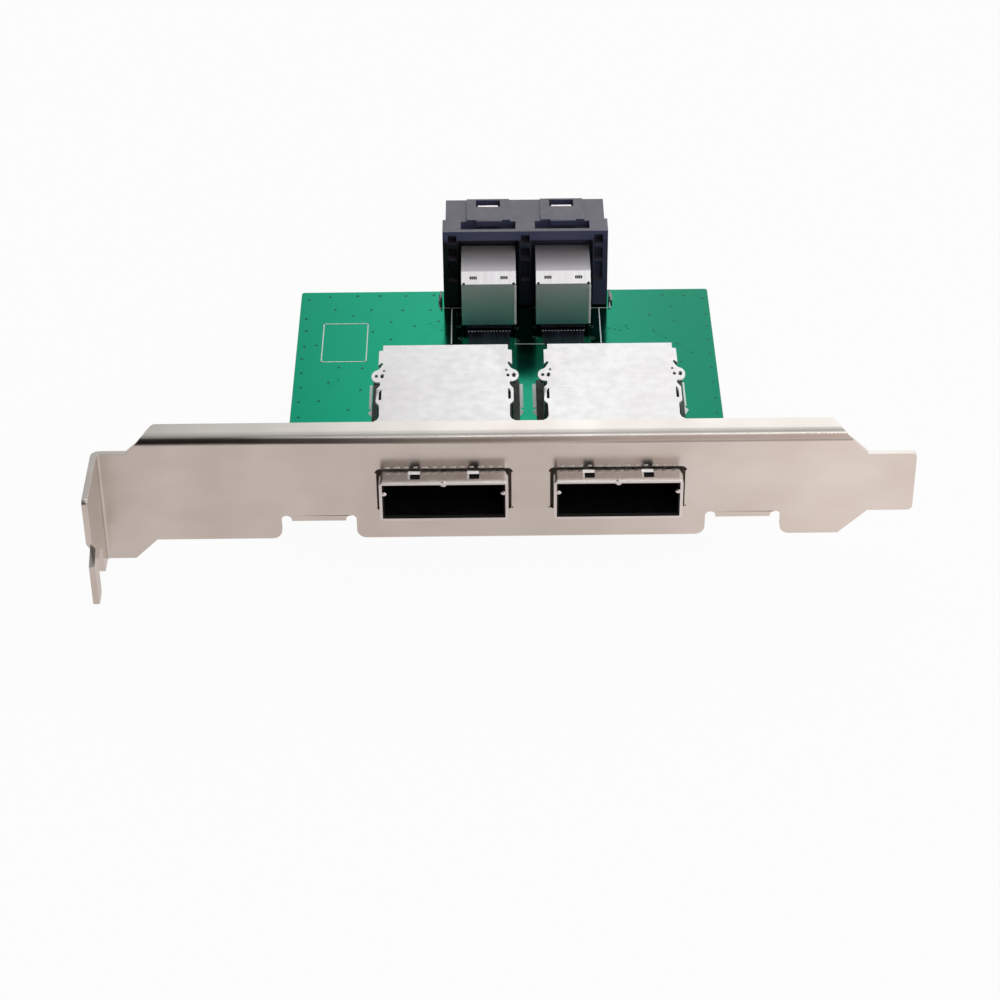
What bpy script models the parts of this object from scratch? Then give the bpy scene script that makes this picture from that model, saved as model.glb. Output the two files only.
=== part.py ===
"""Two-port adapter card on a full-height slot bracket.

The bracket is a folded steel sheet. A circuit board lies on its two bent lugs, with two
caged ports that face out through the bracket and one double connector at the rear edge.

X runs along the bracket, +Y goes from the bracket into the computer, and +Z is the side of
the board that carries the connectors. The origin is on the bracket's outer face, midway
between the two ports, level with the top of the board.
"""

import math

import bmesh
import bpy

MM = 0.001

# General fits; a round end's radius stays just under half its width, so its arcs don't meet
SEAT_GAP = 0.3 * MM
CUT_OVERRUN = 1.0 * MM
MERGE = 0.001 * MM
ROUND_END = 0.98 / 2

# Circuit board
BOARD_THICKNESS = 1.57 * MM
BOARD_LEFT_MARGIN = 5.45 * MM
BOARD_RIGHT_MARGIN = 2.95 * MM
BOARD_UNDER_HOUSING = 4.95 * MM
BOARD_TO_BRACKET = 0.45 * MM
BOARD_CORNER = 0.45 * MM

# Bracket sheet and its outline
SHEET = 0.86 * MM
BRACKET_LENGTH = 120.02 * MM
PORTS_FROM_END = 63.85 * MM
BODY_HEIGHT = 18.42 * MM
END_HEIGHT = 19.05 * MM
END_DROP = 3.4 * MM
END_LENGTH = 5.1 * MM
TONGUE_HEIGHT = 10.19 * MM
TONGUE_LENGTH = 6.62 * MM
TONGUE_TOP_LENGTH = 7.05 * MM
TONGUE_CORNER = 0.7 * MM
BODY_CORNER = 1.4 * MM

# Stiffening flange along the top of the bracket
FLANGE_DEPTH = 3.6 * MM
FLANGE_BEND = 1.9 * MM
FLANGE_CHAMFER = 1.85 * MM
FLANGE_SLANT = 1.0 * MM
FLANGE_CORNER = 0.8 * MM

# Screw tab at the left end, bent towards the outside of the computer
TAB_DEPTH = 11.43 * MM
TAB_BEND = 1.26 * MM
TAB_CORNER = 0.8 * MM
SLOT_WIDTH = 4.42 * MM
SLOT_DEPTH = 6.1 * MM
SLOT_FROM_FACE = 3.7 * MM
PRONG_CORNER = 0.9 * MM
NOTCH_TOP = 7.65 * MM
NOTCH_HEIGHT = 4.1 * MM
NOTCH_POINT = 2.73 * MM
NOTCH_DEPTH = 2.5 * MM

# Lugs bent back under the board, and the screws that hold the board on them
LUG_RISE = 3.1 * MM
LUG_JOG = 4.25 * MM
LUG_WIDTH = 8.0 * MM
LUG_RELIEF = 1.55 * MM
LUG_RELIEF_RISE = 0.1 * MM
LUG_DEPTH = 11.5 * MM
LUG_BEND = 0.95 * MM
LUG_CORNER = 1.0 * MM
LUG_NECK = 4.0 * MM
SCREW_RADIUS = 1.25 * MM
SCREW_HEAD_RADIUS = 2.3 * MM
SCREW_HEAD_HEIGHT = 1.5 * MM
SCREW_RECESS_RADIUS = 1.1 * MM
SCREW_RECESS_DEPTH = 0.8 * MM
SCREW_DEPTH = 7.7 * MM
SCREW_END = 0.5 * MM
SCREW_TO_CAGE = 0.65 * MM

# Outer ports: front shell, black insulator with its card slot, and the cage behind them
CAGE_TO_CAGE = 2.7 * MM
SHELL_WIDTH = 18.8 * MM
SHELL_HEIGHT = 6.87 * MM
SHELL_WALL = 0.45 * MM
SHELL_OUT = 3.1 * MM
SHELL_DROP = 0.5 * MM
SHELL_BACK = 26.0 * MM
SHELL_CORNER = 0.6 * MM
CUTOUT_SIDE = 0.7 * MM
CUTOUT_CORNER = 0.8 * MM
WINDOW_WIDTH = 1.7 * MM
WINDOW_BACK = 0.2 * MM
WINDOW_LENGTH = 2.0 * MM
WINDOW_OFFSET = 4.3 * MM
INSULATOR_FRONT = 5.6 * MM
INSULATOR_BACK = 29.5 * MM
CARD_SLOT_SIDE = 1.35 * MM
CARD_SLOT_HEIGHT = 1.7 * MM
CARD_SLOT_RISE = 2.2 * MM
CARD_SLOT_DEPTH = 6.0 * MM
PORT_CONTACTS = 13
PORT_CONTACT_MARGIN = 2.5 * MM
PORT_CONTACT_WIDTH = 0.35 * MM
PORT_CONTACT_PROUD = 0.3 * MM
PORT_CONTACT_SETBACK = 0.8 * MM
CAGE_WALL = 0.35 * MM
CAGE_FRONT_ROOM = 1.95 * MM
CAGE_MID_ROOM = 0.8 * MM
CAGE_REAR_ROOM = 0.25 * MM
CAGE_BACK = 32.05 * MM
CAGE_STEP = 30.55 * MM
CAGE_WAIST = 26.2 * MM
EAR_BACK = 24.7 * MM
EAR_FRONT = 22.9 * MM
CHANNEL_FRONT = 11.9 * MM
CHANNEL_ROOM = 0.4 * MM
CAGE_LUG_ROOM = 1.0 * MM
CAGE_LUG_BACK = 20.3 * MM
CAGE_LUG_FRONT = 16.8 * MM
CAGE_LUG_SLOPE = 0.7 * MM
CAGE_LUG_SLOT = 0.35 * MM
EAR_HOLE = 0.42 * MM
EAR_HOLE_ROOM = 1.15 * MM
EAR_HOLE_Y = 23.6 * MM
EAR_HOLE_SPACING = 0.95 * MM

# Solder tails behind each port, on one tie strip
PORT_TAILS = 13
PORT_TAIL_MARGIN = 2.2 * MM
PORT_TAIL_WIDTH = 0.5 * MM
PORT_TAIL_THICKNESS = 0.3 * MM
PORT_TAIL_REACH = 1.6 * MM
PORT_TIE_THICKNESS = 0.6 * MM
PORT_TIE_HEIGHT = 4.2 * MM

# Inner double connector at the rear edge of the board
INNER_FRONT = 53.7 * MM
INNER_FRONT_DEPTH = 3.8 * MM
INNER_BACK_DEPTH = 6.2 * MM
INNER_SIDE_WALL = 3.18 * MM
INNER_SHOULDER = 0.48 * MM
INNER_PARTITION = 3.6 * MM
INNER_ROOF = 1.7 * MM
CAVITY_ROOM = 0.1 * MM
CAVITY_RISE = 1.9 * MM
CAVITY_ROOF = 2.8 * MM
CAVITY_WALL = 0.9 * MM
LATCH_SIDE = 0.75 * MM
LATCH_RAISE = 0.35 * MM
LATCH_SLOT_SIDE = 1.5 * MM
LATCH_SLOT_MARGIN = 0.7 * MM
LATCH_SLOT_LENGTH = 2.05 * MM
FRONT_WINDOW_ROOM = 0.25 * MM
FRONT_WINDOW_MARGIN = 0.8 * MM
FRONT_WINDOW_LENGTH = 2.4 * MM
FRONT_WINDOW_FLOOR = 0.5 * MM
RECESS_DEPTH = 2.4 * MM
RECESS_ABOVE = 2.17 * MM
RECESS_SIDE = 0.6 * MM
LATCH_PLATE = 0.25 * MM
NOSE_ROOM = 0.5 * MM
NOSE_HEIGHT = 3.6 * MM
NOSE_REACH = 2.2 * MM
NOSE_SLOT_SIDE = 0.6 * MM
NOSE_SLOT_HEIGHT = 1.2 * MM
NOSE_SLOT_DEPTH = 1.6 * MM

# Wafer blocks of the inner connector with their folded shields
WAFER_WIDTH = 8.3 * MM
WAFER_REACH = 7.24 * MM
WAFER_TOP = 10.43 * MM
WAFER_CHAMFER = 1.5 * MM
SHIELD_WALL = 0.2 * MM
SHIELD_RISE = 1.27 * MM
SHIELD_SIDE = 4.0 * MM
SHIELD_TO_RECESS = 0.3 * MM
TAIL_COUNT = 9
TAIL_MARGIN = 0.95 * MM
TAIL_WIDTH = 0.3 * MM
TAIL_DROP = 0.9 * MM
HOLD_DOWN_WIDTH = 2.2 * MM
HOLD_DOWN_HEIGHT = 1.0 * MM
HOLD_DOWN_FOOT = 0.6 * MM
HOLD_DOWN_SHEET = 0.3 * MM
HOLD_DOWN_SETBACK = 1.9 * MM

# Places worked out from the sizes above
BOARD_TOP = 0.0
BOARD_BOTTOM = BOARD_TOP - BOARD_THICKNESS
LUG_TOP = BOARD_BOTTOM - SEAT_GAP
LUG_UNDER = LUG_TOP - SHEET
BODY_BOTTOM = LUG_UNDER - LUG_RISE
BODY_TOP = BODY_BOTTOM + BODY_HEIGHT
END_BOTTOM = BODY_BOTTOM - END_DROP
END_TOP = END_BOTTOM + END_HEIGHT
END_FACE = -PORTS_FROM_END
TONGUE_TIP = END_FACE + BRACKET_LENGTH
TONGUE_BOTTOM = BODY_BOTTOM + (BODY_HEIGHT - TONGUE_HEIGHT) / 2
TONGUE_TOP = TONGUE_BOTTOM + TONGUE_HEIGHT
BOARD_FRONT = SHEET + BOARD_TO_BRACKET
SHELL_BOTTOM = BOARD_TOP - SHELL_DROP
SHELL_TOP = SHELL_BOTTOM + SHELL_HEIGHT
ON_BOARD = BOARD_TOP + SEAT_GAP
CAGE_UNDER = SHELL_TOP + SEAT_GAP
CAGE_TOP = CAGE_UNDER + CAGE_WALL
CAGE_FRONT = SHEET + SEAT_GAP
SHELL_HALF = SHELL_WIDTH / 2
INSULATOR_HALF = SHELL_HALF - SHELL_WALL - SEAT_GAP
CARD_SLOT_HALF = INSULATOR_HALF - CARD_SLOT_SIDE
CAGE_HALF = SHELL_HALF + CAGE_FRONT_ROOM
CHANNEL_INSIDE = SHELL_HALF + CHANNEL_ROOM
CAGE_LUG_SIDE = SHELL_HALF + CAGE_LUG_ROOM
PORT_X = CAGE_HALF + CAGE_TO_CAGE / 2
PORTS = {"left": -PORT_X, "right": PORT_X}
RIGHT_SCREW = PORT_X + CAGE_HALF + SCREW_TO_CAGE + SCREW_HEAD_RADIUS
LUG_OFFSET = RIGHT_SCREW + LUG_JOG
LEFT_SCREW = -LUG_OFFSET
BOARD_LEFT = LEFT_SCREW - BOARD_LEFT_MARGIN
BOARD_RIGHT = RIGHT_SCREW + BOARD_RIGHT_MARGIN
BOARD_BACK = INNER_FRONT + BOARD_UNDER_HOUSING
INNER_STEP = INNER_FRONT + INNER_FRONT_DEPTH
INNER_BACK = INNER_STEP + INNER_BACK_DEPTH
INNER_PITCH = WAFER_WIDTH + INNER_PARTITION
INNER_HALF = (INNER_PITCH + WAFER_WIDTH) / 2 + INNER_SIDE_WALL
INNER_BACK_HALF = INNER_HALF - INNER_SHOULDER
WAFER_FRONT = INNER_FRONT - WAFER_REACH
RECESS_BACK = INNER_FRONT + RECESS_DEPTH
RECESS_TOP = WAFER_TOP + RECESS_ABOVE
INNER_TOP = RECESS_TOP + INNER_ROOF
CAVITY_TOP = INNER_TOP - CAVITY_ROOF
CAVITY_FLOOR = RECESS_BACK + CAVITY_WALL
LATCH_SLOT_BACK = INNER_BACK - LATCH_SLOT_MARGIN
LATCH_SLOT_FRONT = LATCH_SLOT_BACK - LATCH_SLOT_LENGTH
CAVITY_HALF = (WAFER_WIDTH + CAVITY_ROOM) / 2
NOSE_HALF = CAVITY_HALF - NOSE_ROOM
LATCH_HALF = CAVITY_HALF - LATCH_SIDE
LATCH_SLOT_HALF = LATCH_HALF - LATCH_SLOT_SIDE
FRONT_WINDOW_HALF = WAFER_WIDTH / 2 + FRONT_WINDOW_ROOM
NOSE_BACK = CAVITY_FLOOR + NOSE_REACH
WAFERS = {"left": -INNER_PITCH / 2, "right": INNER_PITCH / 2}

PARTS = "adapter_card"
CUTTERS = "cutters"


def clear_scene():
    for thing in list(bpy.data.objects):
        bpy.data.objects.remove(thing, do_unlink=True)


def collection(name):
    found = bpy.data.collections.get(name)
    if found is None:
        found = bpy.data.collections.new(name)
        bpy.context.scene.collection.children.link(found)
    return found


def material(name, colour, roughness, metallic=0.0):
    made = bpy.data.materials.get(name)
    if made is None:
        made = bpy.data.materials.new(name)
        made.use_nodes = True
        shader = made.node_tree.nodes["Principled BSDF"]
        shader.inputs["Base Color"].default_value = (*colour, 1.0)
        shader.inputs["Roughness"].default_value = roughness
        shader.inputs["Metallic"].default_value = metallic
    return made


def add_object(name, mesh):
    thing = bpy.data.objects.new(name, mesh)
    collection(PARTS).objects.link(thing)
    return thing


def box(name, low, high):
    """A block between two opposite corners."""
    mesh = bpy.data.meshes.new(name)
    shape = bmesh.new()
    bmesh.ops.create_cube(shape, size=1.0)
    for vertex in shape.verts:
        for axis in range(3):
            vertex.co[axis] = high[axis] if vertex.co[axis] > 0 else low[axis]
    shape.to_mesh(mesh)
    shape.free()
    return add_object(name, mesh)


def cylinder(name, centre, radius, low, high, sides=20):
    """An upright round bar from one height to another."""
    mesh = bpy.data.meshes.new(name)
    shape = bmesh.new()
    bmesh.ops.create_cone(
        shape, cap_ends=True, segments=sides, radius1=radius, radius2=radius, depth=high - low
    )
    bmesh.ops.translate(shape, verts=shape.verts, vec=(centre[0], centre[1], (low + high) / 2))
    shape.to_mesh(mesh)
    shape.free()
    return add_object(name, mesh)


def fillet(corners, steps=4):
    """An outline whose corners (x, y, radius) are rounded where a radius is given."""
    points = []
    count = len(corners)
    for index, (x, y, radius) in enumerate(corners):
        if radius == 0:
            points.append((x, y))
            continue
        before = corners[index - 1]
        after = corners[(index + 1) % count]
        arms = []
        for other in (before, after):
            length = math.hypot(other[0] - x, other[1] - y)
            arms.append(((other[0] - x) / length, (other[1] - y) / length))
        cosine = arms[0][0] * arms[1][0] + arms[0][1] * arms[1][1]
        half = math.acos(max(-1.0, min(1.0, cosine))) / 2
        reach = radius / math.tan(half)
        bisector = (arms[0][0] + arms[1][0], arms[0][1] + arms[1][1])
        scale = radius / math.sin(half) / math.hypot(*bisector)
        middle = (x + bisector[0] * scale, y + bisector[1] * scale)
        start = (x + arms[0][0] * reach, y + arms[0][1] * reach)
        end = (x + arms[1][0] * reach, y + arms[1][1] * reach)
        first = math.atan2(start[1] - middle[1], start[0] - middle[0])
        sweep = math.atan2(end[1] - middle[1], end[0] - middle[0]) - first
        sweep = (sweep + math.pi) % (2 * math.pi) - math.pi
        for step in range(steps + 1):
            angle = first + sweep * step / steps
            points.append(
                (middle[0] + radius * math.cos(angle), middle[1] + radius * math.sin(angle))
            )
    return points


def ring(centre, radius, sides=16):
    return [
        (
            centre[0] + radius * math.cos(2 * math.pi * side / sides),
            centre[1] + radius * math.sin(2 * math.pi * side / sides),
        )
        for side in range(sides)
    ]


def rectangle(x0, x1, y0, y1, radius=0.0):
    return fillet([(x0, y0, radius), (x1, y0, radius), (x1, y1, radius), (x0, y1, radius)])


def outline_mesh(name, loops, thickness=0.0):
    """A flat outline with holes, filled, in its own XY plane."""
    curve = bpy.data.curves.new(name, "CURVE")
    curve.dimensions = "2D"
    curve.fill_mode = "BOTH"
    curve.extrude = thickness / 2
    for loop in loops:
        spline = curve.splines.new("POLY")
        spline.points.add(len(loop) - 1)
        for point, (x, y) in zip(spline.points, loop):
            point.co = (x, y, 0.0, 1.0)
        spline.use_cyclic_u = True
    drawn = bpy.data.objects.new(name, curve)
    collection(PARTS).objects.link(drawn)
    graph = bpy.context.evaluated_depsgraph_get()
    mesh = bpy.data.meshes.new_from_object(drawn.evaluated_get(graph))
    bpy.data.objects.remove(drawn, do_unlink=True)
    shape = bmesh.new()
    shape.from_mesh(mesh)
    bmesh.ops.remove_doubles(shape, verts=shape.verts, dist=MERGE)
    shape.to_mesh(mesh)
    shape.free()
    return mesh


def plate(name, loops, low, high):
    """A flat outline with holes, made a plate between two heights."""
    mesh = outline_mesh(name, loops, high - low)
    for vertex in mesh.vertices:
        vertex.co.z = high if vertex.co.z > 0 else low
    return add_object(name, mesh)


def bar(name, profile, low, high):
    """A profile of (y, z) points drawn along X from one place to another."""
    mesh = outline_mesh(name, [profile], high - low)
    for vertex in mesh.vertices:
        y, z, x = vertex.co
        vertex.co = (high if x > 0 else low, y, z)
    return add_object(name, mesh)


def boolean(thing, other, operation):
    """Cut a piece with a tool, or join a tool to it; the tool is kept out of the parts."""
    change = thing.modifiers.new(other.name, "BOOLEAN")
    change.operation = operation
    change.object = other
    change.solver = "EXACT"
    other.hide_render = True
    other.display_type = "WIRE"
    collection(PARTS).objects.unlink(other)
    collection(CUTTERS).objects.link(other)


def cut(thing, *tools):
    for tool in tools:
        boolean(thing, tool, "DIFFERENCE")


def join(thing, *pieces):
    for piece in pieces:
        boolean(thing, piece, "UNION")


def finish(thing, stuff):
    thing.data.materials.clear()
    thing.data.materials.append(stuff)
    return thing


def fold_length(radius):
    """How much sheet a right-angle bend of this outer radius uses, along its middle."""
    return (radius - SHEET / 2) * math.pi / 2


def folded(distance, radius):
    """Where a point this far past a bend line lies: (onward, turned), from the bend line."""
    middle = radius - SHEET / 2
    if distance <= 0:
        return distance, 0.0
    if distance < fold_length(radius):
        angle = distance / middle
        return middle * math.sin(angle), middle * (1 - math.cos(angle))
    return middle, middle + distance - fold_length(radius)


def bracket_blank():
    """The bracket's flat outline before folding, as (x, z), with the sizes of its bends."""
    flange_line = BODY_TOP - FLANGE_BEND
    flange_edge = flange_line + fold_length(FLANGE_BEND) + FLANGE_DEPTH - FLANGE_BEND
    tab_line = END_FACE + TAB_BEND
    tab_flat = TAB_DEPTH + SHEET - TAB_BEND
    tab_edge = tab_line - fold_length(TAB_BEND) - tab_flat
    slot_inner = tab_edge + TAB_DEPTH - SLOT_FROM_FACE
    slot_outer = slot_inner - SLOT_WIDTH
    notch_top = END_TOP - NOTCH_TOP
    notch_low = notch_top - NOTCH_HEIGHT
    lug_line = LUG_UNDER + LUG_BEND
    lug_edge = lug_line - fold_length(LUG_BEND) - (LUG_DEPTH - LUG_BEND)
    lug_neck = lug_line - fold_length(LUG_BEND) - LUG_NECK
    relief_top = lug_line + LUG_RELIEF_RISE
    relief = LUG_RELIEF * ROUND_END
    end_slope = END_FACE + END_LENGTH
    chamfer_top = flange_line + FLANGE_CHAMFER
    left_top = end_slope + chamfer_top - END_TOP
    tongue_slope = TONGUE_BOTTOM - BODY_BOTTOM
    tongue_root = TONGUE_TIP - TONGUE_LENGTH
    shoulder = TONGUE_TIP - TONGUE_TOP_LENGTH
    right_top = shoulder - (chamfer_top - TONGUE_TOP)
    slot_end = SLOT_WIDTH * ROUND_END
    corners = [
        (tab_edge, END_TOP, TAB_CORNER),
        (tab_edge, notch_top, 0),
        (tab_edge + NOTCH_DEPTH, notch_top - NOTCH_POINT, 0),
        (tab_edge, notch_low, 0),
        (tab_edge, END_BOTTOM, PRONG_CORNER),
        (slot_outer, END_BOTTOM, PRONG_CORNER),
        (slot_outer, END_BOTTOM + SLOT_DEPTH, slot_end),
        (slot_inner, END_BOTTOM + SLOT_DEPTH, slot_end),
        (slot_inner, END_BOTTOM, PRONG_CORNER),
        (end_slope, END_BOTTOM, 0),
        (end_slope + END_DROP, BODY_BOTTOM, 0),
    ]
    for middle, screw in ((-LUG_OFFSET, LEFT_SCREW), (LUG_OFFSET, RIGHT_SCREW)):
        left = middle - LUG_WIDTH / 2
        right = middle + LUG_WIDTH / 2
        inner = min(left, screw - LUG_WIDTH / 2 + SCREW_RADIUS)
        corners += [
            (left - LUG_RELIEF, BODY_BOTTOM, BODY_CORNER),
            (left - LUG_RELIEF, relief_top, relief),
            (left, relief_top, relief),
        ]
        if inner < left:
            corners += [(left, lug_neck, 0), (inner, lug_neck, LUG_CORNER)]
        corners += [
            (inner, lug_edge, LUG_CORNER),
            (right, lug_edge, LUG_CORNER),
            (right, relief_top, relief),
            (right + LUG_RELIEF, relief_top, relief),
            (right + LUG_RELIEF, BODY_BOTTOM, BODY_CORNER),
        ]
    corners += [
        (tongue_root - tongue_slope, BODY_BOTTOM, 0),
        (tongue_root, TONGUE_BOTTOM, 0),
        (TONGUE_TIP, TONGUE_BOTTOM, TONGUE_CORNER),
        (TONGUE_TIP, TONGUE_TOP, TONGUE_CORNER),
        (shoulder, TONGUE_TOP, 0),
        (right_top, chamfer_top, 0),
        (right_top - FLANGE_SLANT, flange_edge, FLANGE_CORNER),
        (left_top + FLANGE_SLANT, flange_edge, FLANGE_CORNER),
        (left_top, chamfer_top, 0),
        (end_slope, END_TOP, 0),
    ]
    return fillet(corners), flange_line, tab_line, lug_line


def lug_hole(screw):
    """A lug's screw hole, placed on the flat blank so that it folds to lie under the screw."""
    lug_line = LUG_UNDER + LUG_BEND
    past_bend = SCREW_DEPTH - LUG_BEND
    return ring((screw, lug_line - fold_length(LUG_BEND) - past_bend), SCREW_RADIUS + SEAT_GAP)


def make_bracket(steel):
    """One blank, cut, then folded: flange and lugs inwards, screw tab outwards."""
    outline, flange_line, tab_line, lug_line = bracket_blank()
    loops = [outline]
    for centre in PORTS.values():
        half = SHELL_HALF + CUTOUT_SIDE
        loops.append(
            rectangle(
                centre - half,
                centre + half,
                SHELL_BOTTOM - SEAT_GAP,
                SHELL_TOP + SEAT_GAP,
                CUTOUT_CORNER,
            )
        )
    for screw in (LEFT_SCREW, RIGHT_SCREW):
        loops.append(lug_hole(screw))
    mesh = outline_mesh("bracket", loops)
    shape = bmesh.new()
    shape.from_mesh(mesh)
    bmesh.ops.dissolve_limit(
        shape, angle_limit=math.radians(1), verts=shape.verts, edges=shape.edges
    )
    bend_steps = 5
    for step in range(bend_steps + 1):
        share = step / bend_steps
        lines = (
            ((0, flange_line + share * fold_length(FLANGE_BEND), 0), (0, 1, 0)),
            ((tab_line - share * fold_length(TAB_BEND), 0, 0), (1, 0, 0)),
            ((0, lug_line - share * fold_length(LUG_BEND), 0), (0, 1, 0)),
        )
        for place, normal in lines:
            everything = shape.verts[:] + shape.edges[:] + shape.faces[:]
            bmesh.ops.bisect_plane(
                shape, geom=everything, dist=MERGE, plane_co=place, plane_no=normal
            )
    lug_reach = LUG_OFFSET + LUG_WIDTH / 2 + MERGE
    for vertex in shape.verts:
        x, z = vertex.co.x, vertex.co.y
        place = [x, SHEET / 2, z]
        if z > flange_line:
            onward, turned = folded(z - flange_line, FLANGE_BEND)
            place = [x, SHEET / 2 + turned, flange_line + onward]
        elif x < tab_line:
            onward, turned = folded(tab_line - x, TAB_BEND)
            place = [tab_line - onward, SHEET / 2 - turned, z]
        elif z < lug_line and abs(x) < lug_reach and near_lug(x, z, lug_line):
            onward, turned = folded(lug_line - z, LUG_BEND)
            place = [x, SHEET / 2 + turned, lug_line - onward]
        vertex.co = place
    bmesh.ops.recalc_face_normals(shape, faces=shape.faces)
    shape.to_mesh(mesh)
    shape.free()
    thing = add_object("bracket", mesh)
    thick = thing.modifiers.new("sheet", "SOLIDIFY")
    thick.thickness = SHEET
    thick.offset = 0.0
    return finish(thing, steel)


def near_lug(x, z, lug_line):
    """Whether a point of the blank belongs to a lug and not to the bracket's lower body."""
    for middle, screw in ((-LUG_OFFSET, LEFT_SCREW), (LUG_OFFSET, RIGHT_SCREW)):
        left = middle - LUG_WIDTH / 2
        if z < BODY_BOTTOM - MERGE:
            left = min(left, screw - LUG_WIDTH / 2 + SCREW_RADIUS)
        if left - MERGE <= x <= middle + LUG_WIDTH / 2 + MERGE:
            return True
    return False


def make_board(laminate):
    """The board, with its two screw holes."""
    loops = [rectangle(BOARD_LEFT, BOARD_RIGHT, BOARD_FRONT, BOARD_BACK, BOARD_CORNER)]
    for screw in (LEFT_SCREW, RIGHT_SCREW):
        loops.append(ring((screw, SCREW_DEPTH), SCREW_RADIUS + SEAT_GAP))
    return finish(plate("circuit_board", loops, BOARD_BOTTOM, BOARD_TOP), laminate)


def make_screw(name, x, steel):
    """A pan-head screw that clamps the board to its lug."""
    head_top = ON_BOARD + SCREW_HEAD_HEIGHT
    tip = LUG_UNDER - SCREW_END
    screw = cylinder(name, (x, SCREW_DEPTH), SCREW_HEAD_RADIUS, ON_BOARD, head_top)
    shank = cylinder(name + "_shank", (x, SCREW_DEPTH), SCREW_RADIUS, tip, head_top - SEAT_GAP)
    recess = cylinder(
        name + "_recess",
        (x, SCREW_DEPTH),
        SCREW_RECESS_RADIUS,
        head_top - SCREW_RECESS_DEPTH,
        head_top + CUT_OVERRUN,
        sides=6,
    )
    join(screw, shank)
    cut(screw, recess)
    return finish(screw, steel)


def make_shell(side, centre, steel):
    """The port's front shell: a whole rim outside the board's edge, open below behind it."""
    half = SHELL_HALF
    rim_back = BOARD_FRONT - SEAT_GAP
    rim = rectangle(centre - half, centre + half, SHELL_BOTTOM, SHELL_TOP, SHELL_CORNER)
    shell = plate(f"{side}_port_shell", [rim], -SHELL_BACK, SHELL_OUT)
    for vertex in shell.data.vertices:
        x, z, y = vertex.co
        vertex.co = (x, -y, z)
    inner = half - SHELL_WALL
    hollow = box(
        f"{side}_shell_hollow",
        (centre - inner, -SHELL_OUT - CUT_OVERRUN, SHELL_BOTTOM + SHELL_WALL),
        (centre + inner, SHELL_BACK + CUT_OVERRUN, SHELL_TOP - SHELL_WALL),
    )
    under = box(
        f"{side}_shell_under",
        (centre - half - CUT_OVERRUN, rim_back, SHELL_BOTTOM - CUT_OVERRUN),
        (centre + half + CUT_OVERRUN, SHELL_BACK + CUT_OVERRUN, ON_BOARD),
    )
    cut(shell, hollow, under)
    for sign in (-1, 1):
        middle = centre + sign * WINDOW_OFFSET
        window = box(
            f"{side}_shell_window_{'left' if sign < 0 else 'right'}",
            (middle - WINDOW_WIDTH / 2, -WINDOW_BACK - WINDOW_LENGTH, SHELL_TOP - CUT_OVERRUN),
            (middle + WINDOW_WIDTH / 2, -WINDOW_BACK, SHELL_TOP + CUT_OVERRUN),
        )
        cut(shell, window)
    return finish(shell, steel)


def make_insulator(side, centre, plastic):
    """The black moulding in the shell, with a slot for the plug's card and contact strips."""
    block = box(
        f"{side}_port_insulator",
        (centre - INSULATOR_HALF, INSULATOR_FRONT, ON_BOARD),
        (centre + INSULATOR_HALF, INSULATOR_BACK, SHELL_TOP - SHELL_WALL - SEAT_GAP),
    )
    floor = CARD_SLOT_RISE
    roof = floor + CARD_SLOT_HEIGHT
    end = INSULATOR_FRONT + CARD_SLOT_DEPTH
    slot = box(
        f"{side}_card_slot",
        (centre - CARD_SLOT_HALF, INSULATOR_FRONT - CUT_OVERRUN, floor),
        (centre + CARD_SLOT_HALF, end, roof),
    )
    cut(block, slot)
    reach = CARD_SLOT_HALF - PORT_CONTACT_MARGIN
    rows = {"under": (floor, floor + PORT_CONTACT_PROUD), "over": (roof - PORT_CONTACT_PROUD, roof)}
    for index in range(PORT_CONTACTS):
        middle = centre - reach + 2 * reach * index / (PORT_CONTACTS - 1)
        for row, (low, high) in rows.items():
            strip = box(
                f"{side}_contact_{row}_{index}",
                (
                    middle - PORT_CONTACT_WIDTH / 2,
                    INSULATOR_FRONT + PORT_CONTACT_SETBACK,
                    low - PORT_CONTACT_PROUD,
                ),
                (
                    middle + PORT_CONTACT_WIDTH / 2,
                    end + PORT_CONTACT_PROUD,
                    high + PORT_CONTACT_PROUD,
                ),
            )
            join(block, strip)
    return finish(block, plastic)


def make_port_tails(side, centre, steel):
    """The port's row of solder tails, held level by a tie strip behind the insulator."""
    front = INSULATOR_BACK + SEAT_GAP
    reach = SHELL_HALF - PORT_TAIL_MARGIN
    tie_back = front + PORT_TIE_THICKNESS
    tie = box(
        f"{side}_port_tails",
        (centre - reach - PORT_TAIL_WIDTH, front, ON_BOARD + PORT_TAIL_THICKNESS),
        (centre + reach + PORT_TAIL_WIDTH, tie_back, PORT_TIE_HEIGHT),
    )
    for index in range(PORT_TAILS):
        middle = centre - reach + 2 * reach * index / (PORT_TAILS - 1)
        tail = box(
            f"{side}_port_tail_{index}",
            (middle - PORT_TAIL_WIDTH / 2, front + PORT_TAIL_THICKNESS, ON_BOARD),
            (
                middle + PORT_TAIL_WIDTH / 2,
                front + PORT_TAIL_REACH,
                ON_BOARD + 2 * PORT_TAIL_THICKNESS,
            ),
        )
        join(tie, tail)
    return finish(tie, steel)


def mirrored(points, centre, sign):
    return [(centre + sign * x, y) for x, y in points]


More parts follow.
